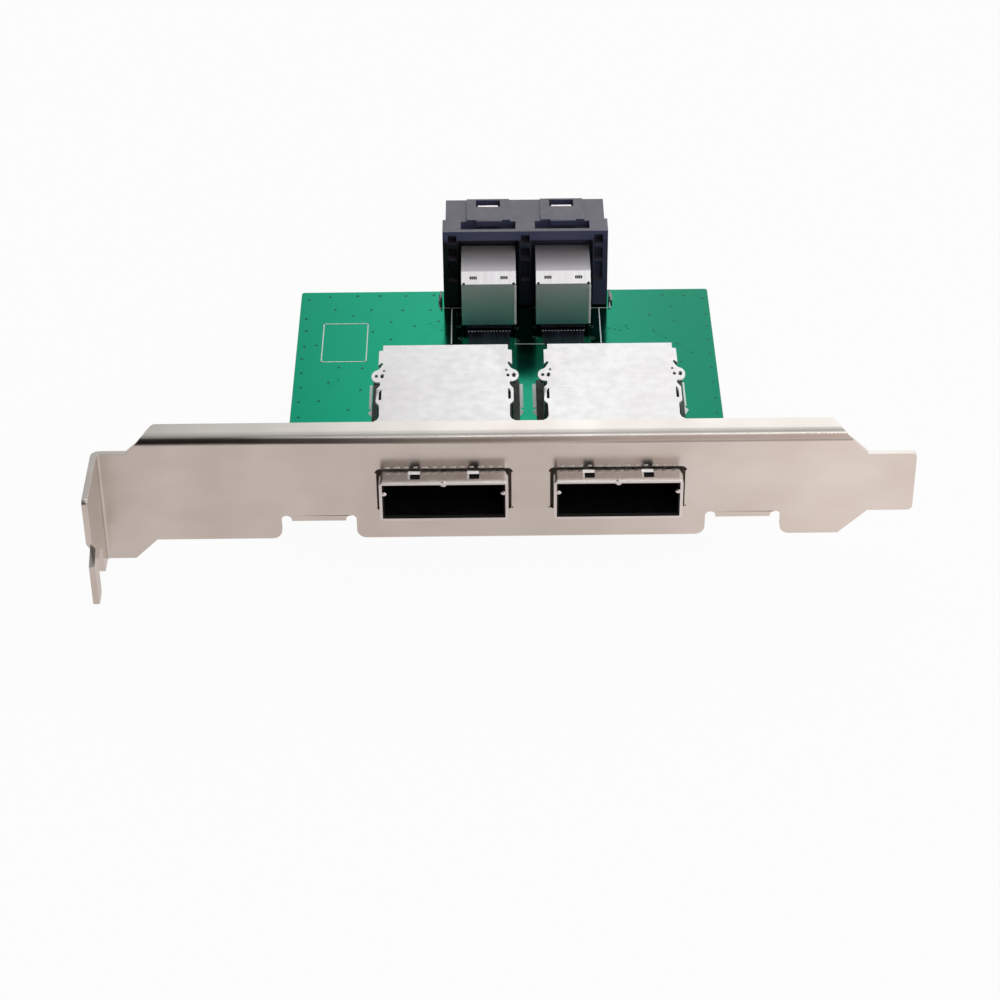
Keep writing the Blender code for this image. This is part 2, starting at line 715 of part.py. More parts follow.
def make_cage(side, centre, steel):
    """The folded cage over the port: a top sheet with ears and lugs, and its side walls."""
    mid_half = SHELL_HALF + CAGE_MID_ROOM
    rear_half = SHELL_HALF + CAGE_REAR_ROOM
    half_outline = [
        (CAGE_HALF, CAGE_FRONT),
        (CAGE_HALF, EAR_BACK),
        (mid_half, CAGE_WAIST),
        (mid_half, CAGE_STEP),
        (rear_half, CAGE_STEP),
        (rear_half, CAGE_BACK),
    ]
    outline = [(centre + x, y) for x, y in half_outline]
    outline += [(centre - x, y) for x, y in reversed(half_outline)]
    channel = [
        (CAGE_HALF - CAGE_WALL, EAR_FRONT),
        (CAGE_LUG_SIDE, EAR_FRONT - CAGE_LUG_SLOPE),
        (CHANNEL_INSIDE, CAGE_LUG_BACK + CAGE_LUG_SLOPE),
        (CAGE_LUG_SIDE, CAGE_LUG_BACK),
        (CAGE_LUG_SIDE, CAGE_LUG_FRONT),
        (CHANNEL_INSIDE, CAGE_LUG_FRONT - CAGE_LUG_SLOPE),
        (CHANNEL_INSIDE, CHANNEL_FRONT + CAGE_LUG_SLOPE),
        (CAGE_HALF - CAGE_WALL, CHANNEL_FRONT),
    ]
    loops = [outline]
    for sign in (-1, 1):
        loops.append(mirrored(channel, centre, sign))
        slot_outer = CAGE_LUG_SIDE - CAGE_LUG_SLOT
        slot = rectangle(
            slot_outer - CAGE_LUG_SLOT,
            slot_outer,
            CAGE_LUG_FRONT + CAGE_LUG_SLOPE,
            CAGE_LUG_BACK - CAGE_LUG_SLOPE,
        )
        loops.append(mirrored(slot, centre, sign))
        for inward in (0, EAR_HOLE_SPACING):
            place = centre + sign * (SHELL_HALF + EAR_HOLE_ROOM - inward)
            loops.append(ring((place, EAR_HOLE_Y), EAR_HOLE, sides=10))
    cage = plate(f"{side}_port_cage", loops, CAGE_UNDER, CAGE_TOP)
    walls = (
        ("front", CAGE_HALF, CAGE_FRONT, EAR_BACK),
        ("middle", mid_half, CAGE_WAIST - CAGE_WALL, CAGE_STEP),
        ("rear", rear_half, CAGE_STEP - CAGE_WALL, CAGE_BACK),
    )
    overlap = CAGE_UNDER + CAGE_WALL / 2
    for label, half, start, end in walls:
        for sign in (-1, 1):
            low, high = sorted((centre + sign * half, centre + sign * (half - CAGE_WALL)))
            wall = box(
                f"{side}_cage_{label}_wall_{'left' if sign < 0 else 'right'}",
                (low, start, ON_BOARD),
                (high, end, overlap),
            )
            join(cage, wall)
    return finish(cage, steel)


def make_inner_housing(plastic):
    """The rear connector's black housing, hollow towards the rear and recessed in front."""
    footprint = [
        (-INNER_HALF, INNER_FRONT),
        (INNER_HALF, INNER_FRONT),
        (INNER_HALF, INNER_STEP),
        (INNER_BACK_HALF, INNER_STEP),
        (INNER_BACK_HALF, INNER_BACK),
        (-INNER_BACK_HALF, INNER_BACK),
        (-INNER_BACK_HALF, INNER_STEP),
        (-INNER_HALF, INNER_STEP),
    ]
    housing = plate("inner_housing", [footprint], ON_BOARD, INNER_TOP)
    for side, centre in WAFERS.items():
        raised = box(
            f"{side}_latch_raised",
            (centre - LATCH_HALF, INNER_STEP, INNER_TOP - CUT_OVERRUN),
            (centre + LATCH_HALF, INNER_BACK - SEAT_GAP, INNER_TOP + LATCH_RAISE),
        )
        join(housing, raised)
        cavity = box(
            f"{side}_cavity",
            (centre - CAVITY_HALF, CAVITY_FLOOR, CAVITY_RISE),
            (centre + CAVITY_HALF, INNER_BACK + CUT_OVERRUN, CAVITY_TOP),
        )
        slot = box(
            f"{side}_latch_slot",
            (
                centre - LATCH_SLOT_HALF,
                LATCH_SLOT_FRONT,
                CAVITY_TOP - CUT_OVERRUN,
            ),
            (centre + LATCH_SLOT_HALF, LATCH_SLOT_BACK, INNER_TOP + CUT_OVERRUN),
        )
        window = box(
            f"{side}_front_window",
            (
                centre - FRONT_WINDOW_HALF,
                INNER_FRONT + FRONT_WINDOW_MARGIN,
                RECESS_TOP + FRONT_WINDOW_FLOOR,
            ),
            (
                centre + FRONT_WINDOW_HALF,
                INNER_FRONT + FRONT_WINDOW_MARGIN + FRONT_WINDOW_LENGTH,
                INNER_TOP + CUT_OVERRUN,
            ),
        )
        recess = box(
            f"{side}_recess",
            (
                centre - WAFER_WIDTH / 2 - SHIELD_WALL - RECESS_SIDE,
                INNER_FRONT - CUT_OVERRUN,
                ON_BOARD - CUT_OVERRUN,
            ),
            (
                centre + WAFER_WIDTH / 2 + SHIELD_WALL + RECESS_SIDE,
                RECESS_BACK,
                RECESS_TOP,
            ),
        )
        cut(housing, cavity, slot, window, recess)
        nose_middle = (CAVITY_RISE + CAVITY_TOP) / 2
        nose = box(
            f"{side}_nose",
            (
                centre - NOSE_HALF,
                CAVITY_FLOOR - SEAT_GAP,
                nose_middle - NOSE_HEIGHT / 2,
            ),
            (
                centre + NOSE_HALF,
                NOSE_BACK,
                nose_middle + NOSE_HEIGHT / 2,
            ),
        )
        join(housing, nose)
        nose_slot = box(
            f"{side}_nose_slot",
            (
                centre - NOSE_HALF + NOSE_SLOT_SIDE,
                NOSE_BACK - NOSE_SLOT_DEPTH,
                nose_middle - NOSE_SLOT_HEIGHT / 2,
            ),
            (
                centre + NOSE_HALF - NOSE_SLOT_SIDE,
                NOSE_BACK + CUT_OVERRUN,
                nose_middle + NOSE_SLOT_HEIGHT / 2,
            ),
        )
        cut(housing, nose_slot)
    return finish(housing, plastic)


def make_latch_plate(side, centre, steel):
    """The thin plate at the front of each latch slot, held in the housing's roof."""
    return finish(
        box(
            f"{side}_latch_plate",
            (
                centre - LATCH_SLOT_HALF + SEAT_GAP,
                LATCH_SLOT_FRONT + SEAT_GAP,
                CAVITY_TOP + SEAT_GAP,
            ),
            (
                centre + LATCH_SLOT_HALF - SEAT_GAP,
                LATCH_SLOT_FRONT + SEAT_GAP + LATCH_PLATE,
                INNER_TOP + LATCH_RAISE,
            ),
        ),
        steel,
    )


def wafer_profile(inset, low, back):
    """The side view (y, z) of a wafer block: square in front, bevelled at its upper corner."""
    front = WAFER_FRONT + inset
    top = WAFER_TOP - inset
    chamfer = WAFER_CHAMFER - inset * (2 - math.sqrt(2))
    return [
        (front, low),
        (back, low),
        (back, top),
        (front + chamfer, top),
        (front, top - chamfer),
    ]


def make_wafer_block(side, centre, plastic):
    """The stack of contact wafers behind a shield, with the row of tails beneath it."""
    inset = SHIELD_WALL + SEAT_GAP
    low = ON_BOARD + TAIL_DROP
    block = bar(
        f"{side}_wafer_block",
        wafer_profile(inset, low, RECESS_BACK - SEAT_GAP),
        centre - WAFER_WIDTH / 2 + SEAT_GAP,
        centre + WAFER_WIDTH / 2 - SEAT_GAP,
    )
    reach = WAFER_WIDTH / 2 - TAIL_MARGIN
    for index in range(TAIL_COUNT):
        middle = centre - reach + 2 * reach * index / (TAIL_COUNT - 1)
        tail = box(
            f"{side}_tail_{index}",
            (middle - TAIL_WIDTH / 2, WAFER_FRONT + inset + TAIL_WIDTH, ON_BOARD),
            (middle + TAIL_WIDTH / 2, RECESS_BACK - CUT_OVERRUN, low + TAIL_WIDTH),
        )
        join(block, tail)
    return finish(block, plastic)


def make_shield(side, centre, steel):
    """The folded sheet over a wafer block: front, bevel, top and two short sides."""
    half = WAFER_WIDTH / 2 + SHIELD_WALL
    low = SHIELD_RISE
    back = RECESS_BACK - SHIELD_TO_RECESS
    shield = bar(
        f"{side}_wafer_shield", wafer_profile(0.0, low, back), centre - half, centre + half
    )
    hollow = bar(
        f"{side}_shield_hollow",
        wafer_profile(SHIELD_WALL, low - CUT_OVERRUN, back + CUT_OVERRUN),
        centre - WAFER_WIDTH / 2,
        centre + WAFER_WIDTH / 2,
    )
    sides = box(
        f"{side}_shield_sides",
        (centre - half - CUT_OVERRUN, WAFER_FRONT + SHIELD_SIDE, low - CUT_OVERRUN),
        (centre + half + CUT_OVERRUN, back + CUT_OVERRUN, WAFER_TOP - SHIELD_SIDE),
    )
    cut(shield, hollow, sides)
    return finish(shield, steel)


def make_hold_down(side, sign, steel):
    """A small soldered angle that holds the housing's side down on the board."""
    face = INNER_HALF + SEAT_GAP
    profile = [
        (face, ON_BOARD),
        (face + HOLD_DOWN_FOOT, ON_BOARD),
        (face + HOLD_DOWN_FOOT, ON_BOARD + HOLD_DOWN_SHEET),
        (face + HOLD_DOWN_SHEET, ON_BOARD + HOLD_DOWN_SHEET),
        (face + HOLD_DOWN_SHEET, ON_BOARD + HOLD_DOWN_HEIGHT),
        (face, ON_BOARD + HOLD_DOWN_HEIGHT),
    ]
    mesh = outline_mesh(f"inner_hold_down_{side}", [profile], HOLD_DOWN_WIDTH)
    for vertex in mesh.vertices:
        x, z, y = vertex.co
        vertex.co = (sign * x, INNER_FRONT + HOLD_DOWN_SETBACK - sign * y, z)
    return finish(add_object(f"inner_hold_down_{side}", mesh), steel)


def face_outwards(thing):
    shape = bmesh.new()
    shape.from_mesh(thing.data)
    bmesh.ops.recalc_face_normals(shape, faces=shape.faces)
    shape.to_mesh(thing.data)
    shape.free()


def main():
    clear_scene()
    steel = material("nickel_plated_steel", (0.52, 0.48, 0.45), 0.32, 1.0)
    tin = material("tinned_steel", (0.80, 0.78, 0.80), 0.30, 1.0)
    green = material("green_board", (0.016, 0.33, 0.19), 0.25)
    black = material("black_plastic", (0.02, 0.02, 0.022), 0.45)
    grey = material("dark_plastic", (0.10, 0.09, 0.115), 0.5)
    screw_steel = material("screw_steel", (0.62, 0.62, 0.62), 0.3, 1.0)
    make_bracket(steel)
    make_board(green)
    make_screw("board_screw_left", LEFT_SCREW, screw_steel)
    make_screw("board_screw_right", RIGHT_SCREW, screw_steel)
    for side, centre in PORTS.items():
        make_shell(side, centre, tin)
        make_insulator(side, centre, black)
        make_cage(side, centre, tin)
        make_port_tails(side, centre, tin)
    make_inner_housing(grey)
    for side, centre in WAFERS.items():
        make_latch_plate(side, centre, tin)
        make_wafer_block(side, centre, black)
        make_shield(side, centre, tin)
    make_hold_down("left", -1, tin)
    make_hold_down("right", 1, tin)
    for thing in bpy.data.objects:
        if thing.name != "bracket":
            face_outwards(thing)


main()
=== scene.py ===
"""A two-port adapter card on a full-height slot bracket, seen from above its outer face."""

import math

import bpy
from mathutils import Matrix, Vector


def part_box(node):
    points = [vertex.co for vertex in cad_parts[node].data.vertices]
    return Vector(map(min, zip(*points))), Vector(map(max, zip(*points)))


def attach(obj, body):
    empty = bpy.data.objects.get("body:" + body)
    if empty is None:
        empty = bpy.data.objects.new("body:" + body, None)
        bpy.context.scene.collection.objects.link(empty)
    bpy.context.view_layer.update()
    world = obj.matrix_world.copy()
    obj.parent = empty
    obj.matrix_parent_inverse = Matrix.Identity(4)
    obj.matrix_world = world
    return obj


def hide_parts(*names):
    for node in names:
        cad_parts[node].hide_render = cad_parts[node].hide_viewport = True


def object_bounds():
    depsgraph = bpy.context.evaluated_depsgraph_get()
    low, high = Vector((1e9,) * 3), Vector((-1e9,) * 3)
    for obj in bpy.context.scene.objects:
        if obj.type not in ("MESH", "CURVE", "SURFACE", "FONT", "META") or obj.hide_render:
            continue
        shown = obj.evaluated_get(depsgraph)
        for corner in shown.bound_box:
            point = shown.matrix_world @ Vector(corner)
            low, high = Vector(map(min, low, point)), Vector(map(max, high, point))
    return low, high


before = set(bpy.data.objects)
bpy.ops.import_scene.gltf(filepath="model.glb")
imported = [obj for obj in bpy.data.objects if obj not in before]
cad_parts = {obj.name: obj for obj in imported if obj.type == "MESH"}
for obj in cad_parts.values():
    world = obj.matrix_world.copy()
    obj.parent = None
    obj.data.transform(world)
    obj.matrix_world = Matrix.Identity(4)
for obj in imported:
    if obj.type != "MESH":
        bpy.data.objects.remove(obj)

# The CAD model's box, taken before anything is added to it.
cad_low, cad_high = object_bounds()


# Camera: a long lens looks down on the bracket's outer face from the front, level with its
# middle. Its place and turn were fitted to the bracket's standard sizes.
MM = 0.001
CAMERA_PLACE = Vector((-4.905, -319.464, 239.782)) * MM
CAMERA_PITCH = math.radians(35.4394)
CAMERA_YAW = math.radians(0.1225)
CAMERA_ROLL = math.radians(-0.5295)
LENS_MM = 97.76
SENSOR_MM = 36.0
SHIFT_ACROSS = -0.00148
SHIFT_UP = -0.0643

camera_data = bpy.data.cameras.new("camera")
camera_data.lens = LENS_MM
camera_data.sensor_width = SENSOR_MM
camera_data.sensor_fit = "HORIZONTAL"
camera_data.shift_x = SHIFT_ACROSS
camera_data.shift_y = SHIFT_UP
camera_data.clip_start = 0.01
camera_data.clip_end = 20.0
camera = bpy.data.objects.new("camera", camera_data)
bpy.context.scene.collection.objects.link(camera)
forward = Vector((
    math.sin(CAMERA_YAW) * math.cos(CAMERA_PITCH),
    math.cos(CAMERA_YAW) * math.cos(CAMERA_PITCH),
    -math.sin(CAMERA_PITCH),
))
level_right = Vector((math.cos(CAMERA_YAW), -math.sin(CAMERA_YAW), 0.0))
level_up = level_right.cross(forward)
right = math.cos(CAMERA_ROLL) * level_right + math.sin(CAMERA_ROLL) * level_up
upward = -math.sin(CAMERA_ROLL) * level_right + math.cos(CAMERA_ROLL) * level_up
turn = Matrix((right, upward, -forward)).transposed().to_4x4()
camera.matrix_world = Matrix.Translation(CAMERA_PLACE) @ turn
bpy.context.scene.camera = camera


# Room: a pale floor under the card and a white surround, dim low in front and greyer overhead,
# with one long narrow lamp above the front right. Directions in the surround run from -1 to 1
# along each axis, and the camera sees only plain white in it.
WHITE = (1.0, 1.0, 1.0)

# The colour sockets of a Mix node, by number.
COLOUR_FACTOR = 0
COLOUR_A = 6
COLOUR_B = 7
COLOUR_RESULT = 2


def add_node(stuff, kind, place=None, **settings):
    made = stuff.node_tree.nodes.new(kind)
    for key, value in settings.items():
        setattr(made, key, value)
    for key, value in (place or {}).items():
        made.inputs[key].default_value = value
    return made


def link(stuff, source, output, target, entry):
    stuff.node_tree.links.new(source.outputs[output], target.inputs[entry])


def place_parts(stuff, kind="Object"):
    """The place on a piece, or the direction out into the room, split into X, Y and Z."""
    place = add_node(stuff, "ShaderNodeTexCoord")
    parts = add_node(stuff, "ShaderNodeSeparateXYZ")
    link(stuff, place, kind, parts, "Vector")
    return parts


def ramp(stuff, source, output, start, end, low, high):
    """A value that goes from low to high while the source goes from start to end."""
    limits = {"From Min": start, "From Max": end, "To Min": low, "To Max": high}
    change = add_node(stuff, "ShaderNodeMapRange", limits)
    link(stuff, source, output, change, "Value")
    return change


def maths(stuff, operation, one, other, one_output=0, other_output=0):
    """The product, sum or other result of two values."""
    result = add_node(stuff, "ShaderNodeMath", operation=operation)
    link(stuff, one, one_output, result, 0)
    link(stuff, other, other_output, result, 1)
    return result


def colour_mix(stuff, source, output, first, second):
    """A colour that goes from the first to the second while the source goes from 0 to 1."""
    ends = {COLOUR_A: (*first, 1.0), COLOUR_B: (*second, 1.0)}
    mix = add_node(stuff, "ShaderNodeMix", ends, data_type="RGBA")
    link(stuff, source, output, mix, COLOUR_FACTOR)
    return mix


def shader_of(stuff):
    return stuff.node_tree.nodes["Principled BSDF"]


scene = bpy.context.scene
scene.view_settings.view_transform = "Standard"

world = bpy.data.worlds.new("studio")
world.use_nodes = True
scene.world = world
surround = world.node_tree.nodes["Background"]
way = place_parts(world, "Generated")

WARM_DIM = (1.0, 0.83, 0.78)
below_lamp = ramp(world, way, "Z", 0.70, 0.79, 1.0, 0.0)
in_front = ramp(world, way, "Y", -0.36, -0.2, 1.0, 0.0)
not_right = ramp(world, way, "X", 0.25, 0.5, 1.0, 0.0)
dim = maths(world, "MULTIPLY", maths(world, "MULTIPLY", below_lamp, in_front), not_right)
dim_level = ramp(world, way, "X", -0.1, 0.14, 0.06, 0.78)
grey_start = ramp(world, way, "Y", -0.20, -0.12, 0.55, 1.0)
grey_end = ramp(world, way, "Y", -0.52, -0.42, 0.45, 0.0)
overhead = maths(world, "ADD", grey_start, grey_end)
behind = ramp(world, way, "Y", 0.1, 0.5, 0.92, 1.22)
left_fall = ramp(world, way, "X", -0.125, 0.01, 0.37, 1.2)
left_fall.interpolation_type = "SMOOTHSTEP"
right_fall = ramp(world, way, "X", 0.02, 0.12, 1.0, 0.84)
sideways = maths(world, "MULTIPLY", left_fall, right_fall)
bright = maths(world, "MULTIPLY", maths(world, "MULTIPLY", behind, sideways), overhead)
glow = add_node(world, "ShaderNodeMix")
link(world, dim, "Value", glow, "Factor")
link(world, bright, "Value", glow, "A")
link(world, dim_level, "Result", glow, "B")
seen = add_node(world, "ShaderNodeLightPath")
strength = add_node(world, "ShaderNodeMix", {"B": 1.0})
link(world, seen, "Is Camera Ray", strength, "Factor")
link(world, glow, "Result", strength, "A")
link(world, strength, "Result", surround, "Strength")
warm_dim = colour_mix(world, dim, "Value", WHITE, WARM_DIM)
seen_colour = colour_mix(world, seen, "Is Camera Ray", WHITE, WHITE)
link(world, warm_dim, COLOUR_RESULT, seen_colour, COLOUR_A)
link(world, seen_colour, COLOUR_RESULT, surround, "Color")

LAMP_LENGTH = 0.8
LAMP_WIDTH = 0.12
LAMP_POWER = 1.1
LAMP_PLACE = (0.37, -0.48, 0.62)
LAMP_TILT = math.radians(-38.0)
lamp_data = bpy.data.lights.new("overhead_softbox", "AREA")
lamp_data.shape = "RECTANGLE"
lamp_data.size = LAMP_LENGTH
lamp_data.size_y = LAMP_WIDTH
lamp_data.energy = LAMP_POWER
lamp = bpy.data.objects.new("overhead_softbox", lamp_data)
scene.collection.objects.link(lamp)
lamp.location = LAMP_PLACE
lamp.rotation_euler = (LAMP_TILT, 0.0, 0.0)

FLOOR_GAP = 0.1 * MM
FLOOR_SIZE = 6.0
bpy.ops.mesh.primitive_plane_add(size=FLOOR_SIZE, location=(0.0, 0.0, cad_low[2] - FLOOR_GAP))
floor = bpy.context.object
floor.name = "floor"
floor_paper = bpy.data.materials.new("white_paper")
floor_paper.use_nodes = True
floor_shader = shader_of(floor_paper)
floor_shader.inputs["Base Color"].default_value = (0.86, 0.86, 0.86, 1.0)
floor_shader.inputs["Roughness"].default_value = 0.9
floor_shader.inputs["Specular IOR Level"].default_value = 0.0
PAPER_SHARE = 0.95
WARM_SIDE = (1.0, 0.885, 0.85)
white = add_node(floor_paper, "ShaderNodeEmission")
floor_seen = add_node(floor_paper, "ShaderNodeLightPath")
floor_parts = place_parts(floor_paper)
mirrored_light = ramp(floor_paper, floor_parts, "X", 5 * MM, 45 * MM, 0.69, 0.97)
floor_strength = add_node(floor_paper, "ShaderNodeMix", {"B": 1.0})
link(floor_paper, floor_seen, "Is Camera Ray", floor_strength, "Factor")
link(floor_paper, mirrored_light, "Result", floor_strength, "A")
link(floor_paper, floor_strength, "Result", white, "Strength")
paper_colour = colour_mix(floor_paper, floor_seen, "Is Camera Ray", WARM_SIDE, WHITE)
link(floor_paper, paper_colour, COLOUR_RESULT, white, "Color")
by_mirror = maths(floor_paper, "MAXIMUM", floor_seen, floor_seen, "Is Camera Ray", "Is Glossy Ray")
by_glass = maths(floor_paper, "MAXIMUM", by_mirror, floor_seen, 0, "Is Transmission Ray")
share = add_node(floor_paper, "ShaderNodeMath", {1: PAPER_SHARE}, operation="MULTIPLY")
link(floor_paper, by_glass, "Value", share, 0)
blend = add_node(floor_paper, "ShaderNodeMixShader")
link(floor_paper, share, "Value", blend, "Fac")
link(floor_paper, floor_shader, "BSDF", blend, 1)
link(floor_paper, white, "Emission", blend, 2)
floor_output = floor_paper.node_tree.nodes["Material Output"]
link(floor_paper, blend, "Shader", floor_output, "Surface")
floor.data.materials.append(floor_paper)


# Slot bracket: one steel sheet, pressed out, folded along its top, its lugs and its screw tab,
# then nickel plated. The press leaves its edges slightly rolled, and a painted dark reflection lies
# along the bend, wide on the left and thin on the right.
def only(*pieces):
    bpy.ops.object.select_all(action="DESELECT")
    for piece in pieces:
        piece.select_set(True)
    bpy.context.view_layer.objects.active = pieces[0]


def apply_modifier(piece, kind, **settings):
    only(piece)
    change = piece.modifiers.new(kind.lower(), kind)
    for key, value in settings.items():
        setattr(change, key, value)
    bpy.ops.object.modifier_apply(modifier=change.name)


def merged_copy(name, node):
    """A node's shape with its triangles joined into whole faces, to be worked on."""
    piece = bpy.data.objects.new(name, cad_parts[node].data.copy())
    piece.data.materials.clear()
    scene.collection.objects.link(piece)
    only(piece)
    bpy.ops.object.mode_set(mode="EDIT")
    bpy.ops.mesh.select_all(action="SELECT")
    bpy.ops.mesh.remove_doubles(threshold=0.001 * MM)
    bpy.ops.mesh.dissolve_limited(angle_limit=math.radians(0.5))
    bpy.ops.object.mode_set(mode="OBJECT")
    return piece


def roll_edges(piece, width, segments=2, angle=30.0):
    apply_modifier(
        piece, "BEVEL", width=width, segments=segments, limit_method="ANGLE",
        angle_limit=math.radians(angle), miter_outer="MITER_ARC",
    )


def dress(piece, stuff, slot, *nodes):
    """Gives a finished piece its material, smooth shading and place on the card."""
    if stuff is not None:
        piece.data.materials.clear()
        piece.data.materials.append(stuff)
    only(piece)
    bpy.ops.object.shade_smooth_by_angle(angle=math.radians(32.0))
    apply_modifier(piece, "WEIGHTED_NORMAL", keep_sharp=True)
    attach(piece, "root")
    if nodes:
        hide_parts(*nodes)


def new_material(name, colour, roughness, metallic=0.0):
    stuff = bpy.data.materials.new(name)
    stuff.use_nodes = True
    shader = shader_of(stuff)
    shader.inputs["Base Color"].default_value = (*colour, 1.0)
    shader.inputs["Roughness"].default_value = roughness
    shader.inputs["Metallic"].default_value = metallic
    return stuff


def grain(stuff, scale, stretch=(1.0, 1.0, 1.0)):
    """A noise on the piece's own coordinates, stretched where the real finish has a grain."""
    place = add_node(stuff, "ShaderNodeTexCoord")
    fit = add_node(stuff, "ShaderNodeMapping", {"Scale": stretch})
    link(stuff, place, "Object", fit, "Vector")
    noise = add_node(stuff, "ShaderNodeTexNoise", {"Scale": scale, "Detail": 2.0})
    link(stuff, fit, "Vector", noise, "Vector")
    return noise


def paint(stuff, mix):
    """Lays a mixed colour on the surface."""
    link(stuff, mix, COLOUR_RESULT, shader_of(stuff), "Base Color")


def vary_colour(stuff, noise, dark, light):
    """Lets the colour wander between two tones where a noise rises."""
    spread = ramp(stuff, noise, "Fac", 0.35, 0.65, 0.0, 1.0)
    mix = colour_mix(stuff, spread, "Result", dark, light)
    paint(stuff, mix)
    return mix


def vary_roughness(stuff, noise, low, high):
    spread = ramp(stuff, noise, "Fac", 0.3, 0.7, low, high)
    link(stuff, spread, "Result", shader_of(stuff), "Roughness")


def bumps(stuff, noise, strength, depth):
    bump = add_node(stuff, "ShaderNodeBump", {"Strength": strength, "Distance": depth})
    link(stuff, noise, "Fac", bump, "Height")
    link(stuff, bump, "Normal", shader_of(stuff), "Normal")


NICKEL_WARM = (0.71, 0.665, 0.62)
NICKEL_COOL = (0.77, 0.745, 0.70)
nickel = new_material("nickel_plate", NICKEL_WARM, 0.24, 1.0)
nickel_tone = vary_colour(nickel, grain(nickel, 70.0, (1.0, 1.0, 1.6)), NICKEL_WARM, NICKEL_COOL)
vary_roughness(nickel, grain(nickel, 160.0, (1.0, 1.0, 0.4)), 0.19, 0.27)
bumps(nickel, grain(nickel, 5200.0, (1.0, 1.0, 0.06)), 0.12, 0.01 * MM)


def height_band(source, output, low, high, soft):
    """One between two heights on the bend and nothing beyond them."""
    rise = ramp(nickel, source, output, low - soft, low + soft, 0.0, 1.0)
    fall = ramp(nickel, source, output, high - soft, high + soft, 1.0, 0.0)
    return maths(nickel, "MULTIPLY", rise, fall)


BEND_RADIUS = 1.9 * MM
# A painted dark reflection runs along the outer bend, wide on the left and thin on the right.
DARK_REFLECTION_COLOUR = (0.012, 0.010, 0.010)
bend = place_parts(nickel)
lift = ramp(nickel, bend, "X", -44 * MM, -8 * MM, 0.0, 0.42 * MM)
plain_height = ramp(nickel, bend, "Z", 0.0, 20 * MM, 0.0, 20 * MM)
lifted_height = maths(nickel, "ADD", plain_height, lift)
left_reflection_share = ramp(nickel, bend, "X", -46 * MM, 14 * MM, 0.90, 0.0)
right_reflection_share = ramp(nickel, bend, "X", 2 * MM, 14 * MM, 0.0, 0.45)
wide_reflection_band = height_band(lifted_height, 0, 11.42 * MM, 12.12 * MM, 0.1 * MM)
thin_reflection_band = height_band(bend, "Z", 10.9 * MM, 11.22 * MM, 0.08 * MM)
wide_painted_reflection = maths(nickel, "MULTIPLY", left_reflection_share, wide_reflection_band)
thin_painted_reflection = maths(nickel, "MULTIPLY", right_reflection_share, thin_reflection_band)
on_bend = ramp(nickel, bend, "Y", 1.85 * MM, 1.95 * MM, 1.0, 0.0)
toward_corner = maths(nickel, "SUBTRACT", bend, bend, "Z", "Y")
bend_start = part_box("bracket")[1][2] - 2 * BEND_RADIUS
outer_side = ramp(nickel, toward_corner, 0, bend_start + 1.55 * MM, bend_start + 1.75 * MM, 0.0, 1.0)
outer_bend = maths(nickel, "MULTIPLY", on_bend, outer_side)
painted_dark_reflection = maths(nickel, "MULTIPLY", outer_bend, maths(nickel, "ADD", wide_painted_reflection, thin_painted_reflection))
with_painted_reflection = colour_mix(nickel, painted_dark_reflection, 0, NICKEL_WARM, DARK_REFLECTION_COLOUR)
link(nickel, nickel_tone, COLOUR_RESULT, with_painted_reflection, COLOUR_A)
paint(nickel, with_painted_reflection)

bracket = merged_copy("bracket_sheet", "bracket")
bpy.ops.object.mode_set(mode="EDIT")
bpy.ops.mesh.select_mode(type="EDGE")
bpy.ops.mesh.select_all(action="DESELECT")
bpy.ops.mesh.edges_select_sharp(sharpness=math.radians(40.0))
bpy.ops.transform.edge_bevelweight(value=1.0)
bpy.ops.object.mode_set(mode="OBJECT")
roll_share = bracket.data.attributes["bevel_weight_edge"]
EDGE_ROLL = 0.26 * MM
CUT_OUT_SHARE = 0.25
LUG_EDGE_LENGTH = 5.0 * MM
for edge in bracket.data.edges:
    ends = [bracket.data.vertices[i].co for i in edge.vertices]
    at_cut_outs = all(-45 * MM < end.x < 45 * MM and -4.5 * MM < end.z < 8.5 * MM for end in ends)
    if at_cut_outs:
        roll_share.data[edge.index].value *= CUT_OUT_SHARE
    along_lug = all(end.y < 0.9 * MM and -2.4 * MM < end.z < -1.4 * MM for end in ends)
    if along_lug and abs(ends[0].x - ends[1].x) > LUG_EDGE_LENGTH:
        roll_share.data[edge.index].value = 0.0
apply_modifier(
    bracket, "BEVEL", width=EDGE_ROLL, segments=3, limit_method="WEIGHT", miter_outer="MITER_ARC"
)
dress(bracket, nickel, "nickel_steel", "bracket")


# Circuit board: glass laminate under a glossy green solder mask. White print, small covered
# vias, round pads and faint copper runs lie on it, sunk a little into the mask.
SUNK = -0.01 * MM


def flat_shape(name, loops, low, high):
    """A flat outline with holes, drawn as a curve and pressed to a thickness."""
    curve = bpy.data.curves.new(name, "CURVE")
    curve.dimensions = "2D"
    curve.fill_mode = "BOTH"
    curve.extrude = (high - low) / 2
    for loop in loops:
        line = curve.splines.new("POLY")
        line.points.add(len(loop) - 1)
        for point, (x, y) in zip(line.points, loop):
            point.co = (x, y, 0.0, 1.0)
        line.use_cyclic_u = True
    piece = bpy.data.objects.new(name, curve)
    scene.collection.objects.link(piece)
    only(piece)
    bpy.ops.object.convert(target="MESH")
    piece = bpy.context.object
    bpy.ops.object.mode_set(mode="EDIT")
    bpy.ops.mesh.select_all(action="SELECT")
    bpy.ops.mesh.remove_doubles(threshold=0.001 * MM)
    bpy.ops.mesh.dissolve_limited(angle_limit=math.radians(0.5))
    bpy.ops.mesh.normals_make_consistent(inside=False)
    bpy.ops.object.mode_set(mode="OBJECT")
    piece.location.z = (low + high) / 2
    bpy.ops.object.transform_apply(location=True, rotation=True, scale=True)
    return piece


def oval(x, y, half_wide, half_deep, sides):
    turns = [2 * math.pi * i / sides for i in range(sides)]
    return [(x + half_wide * math.cos(turn), y + half_deep * math.sin(turn)) for turn in turns]


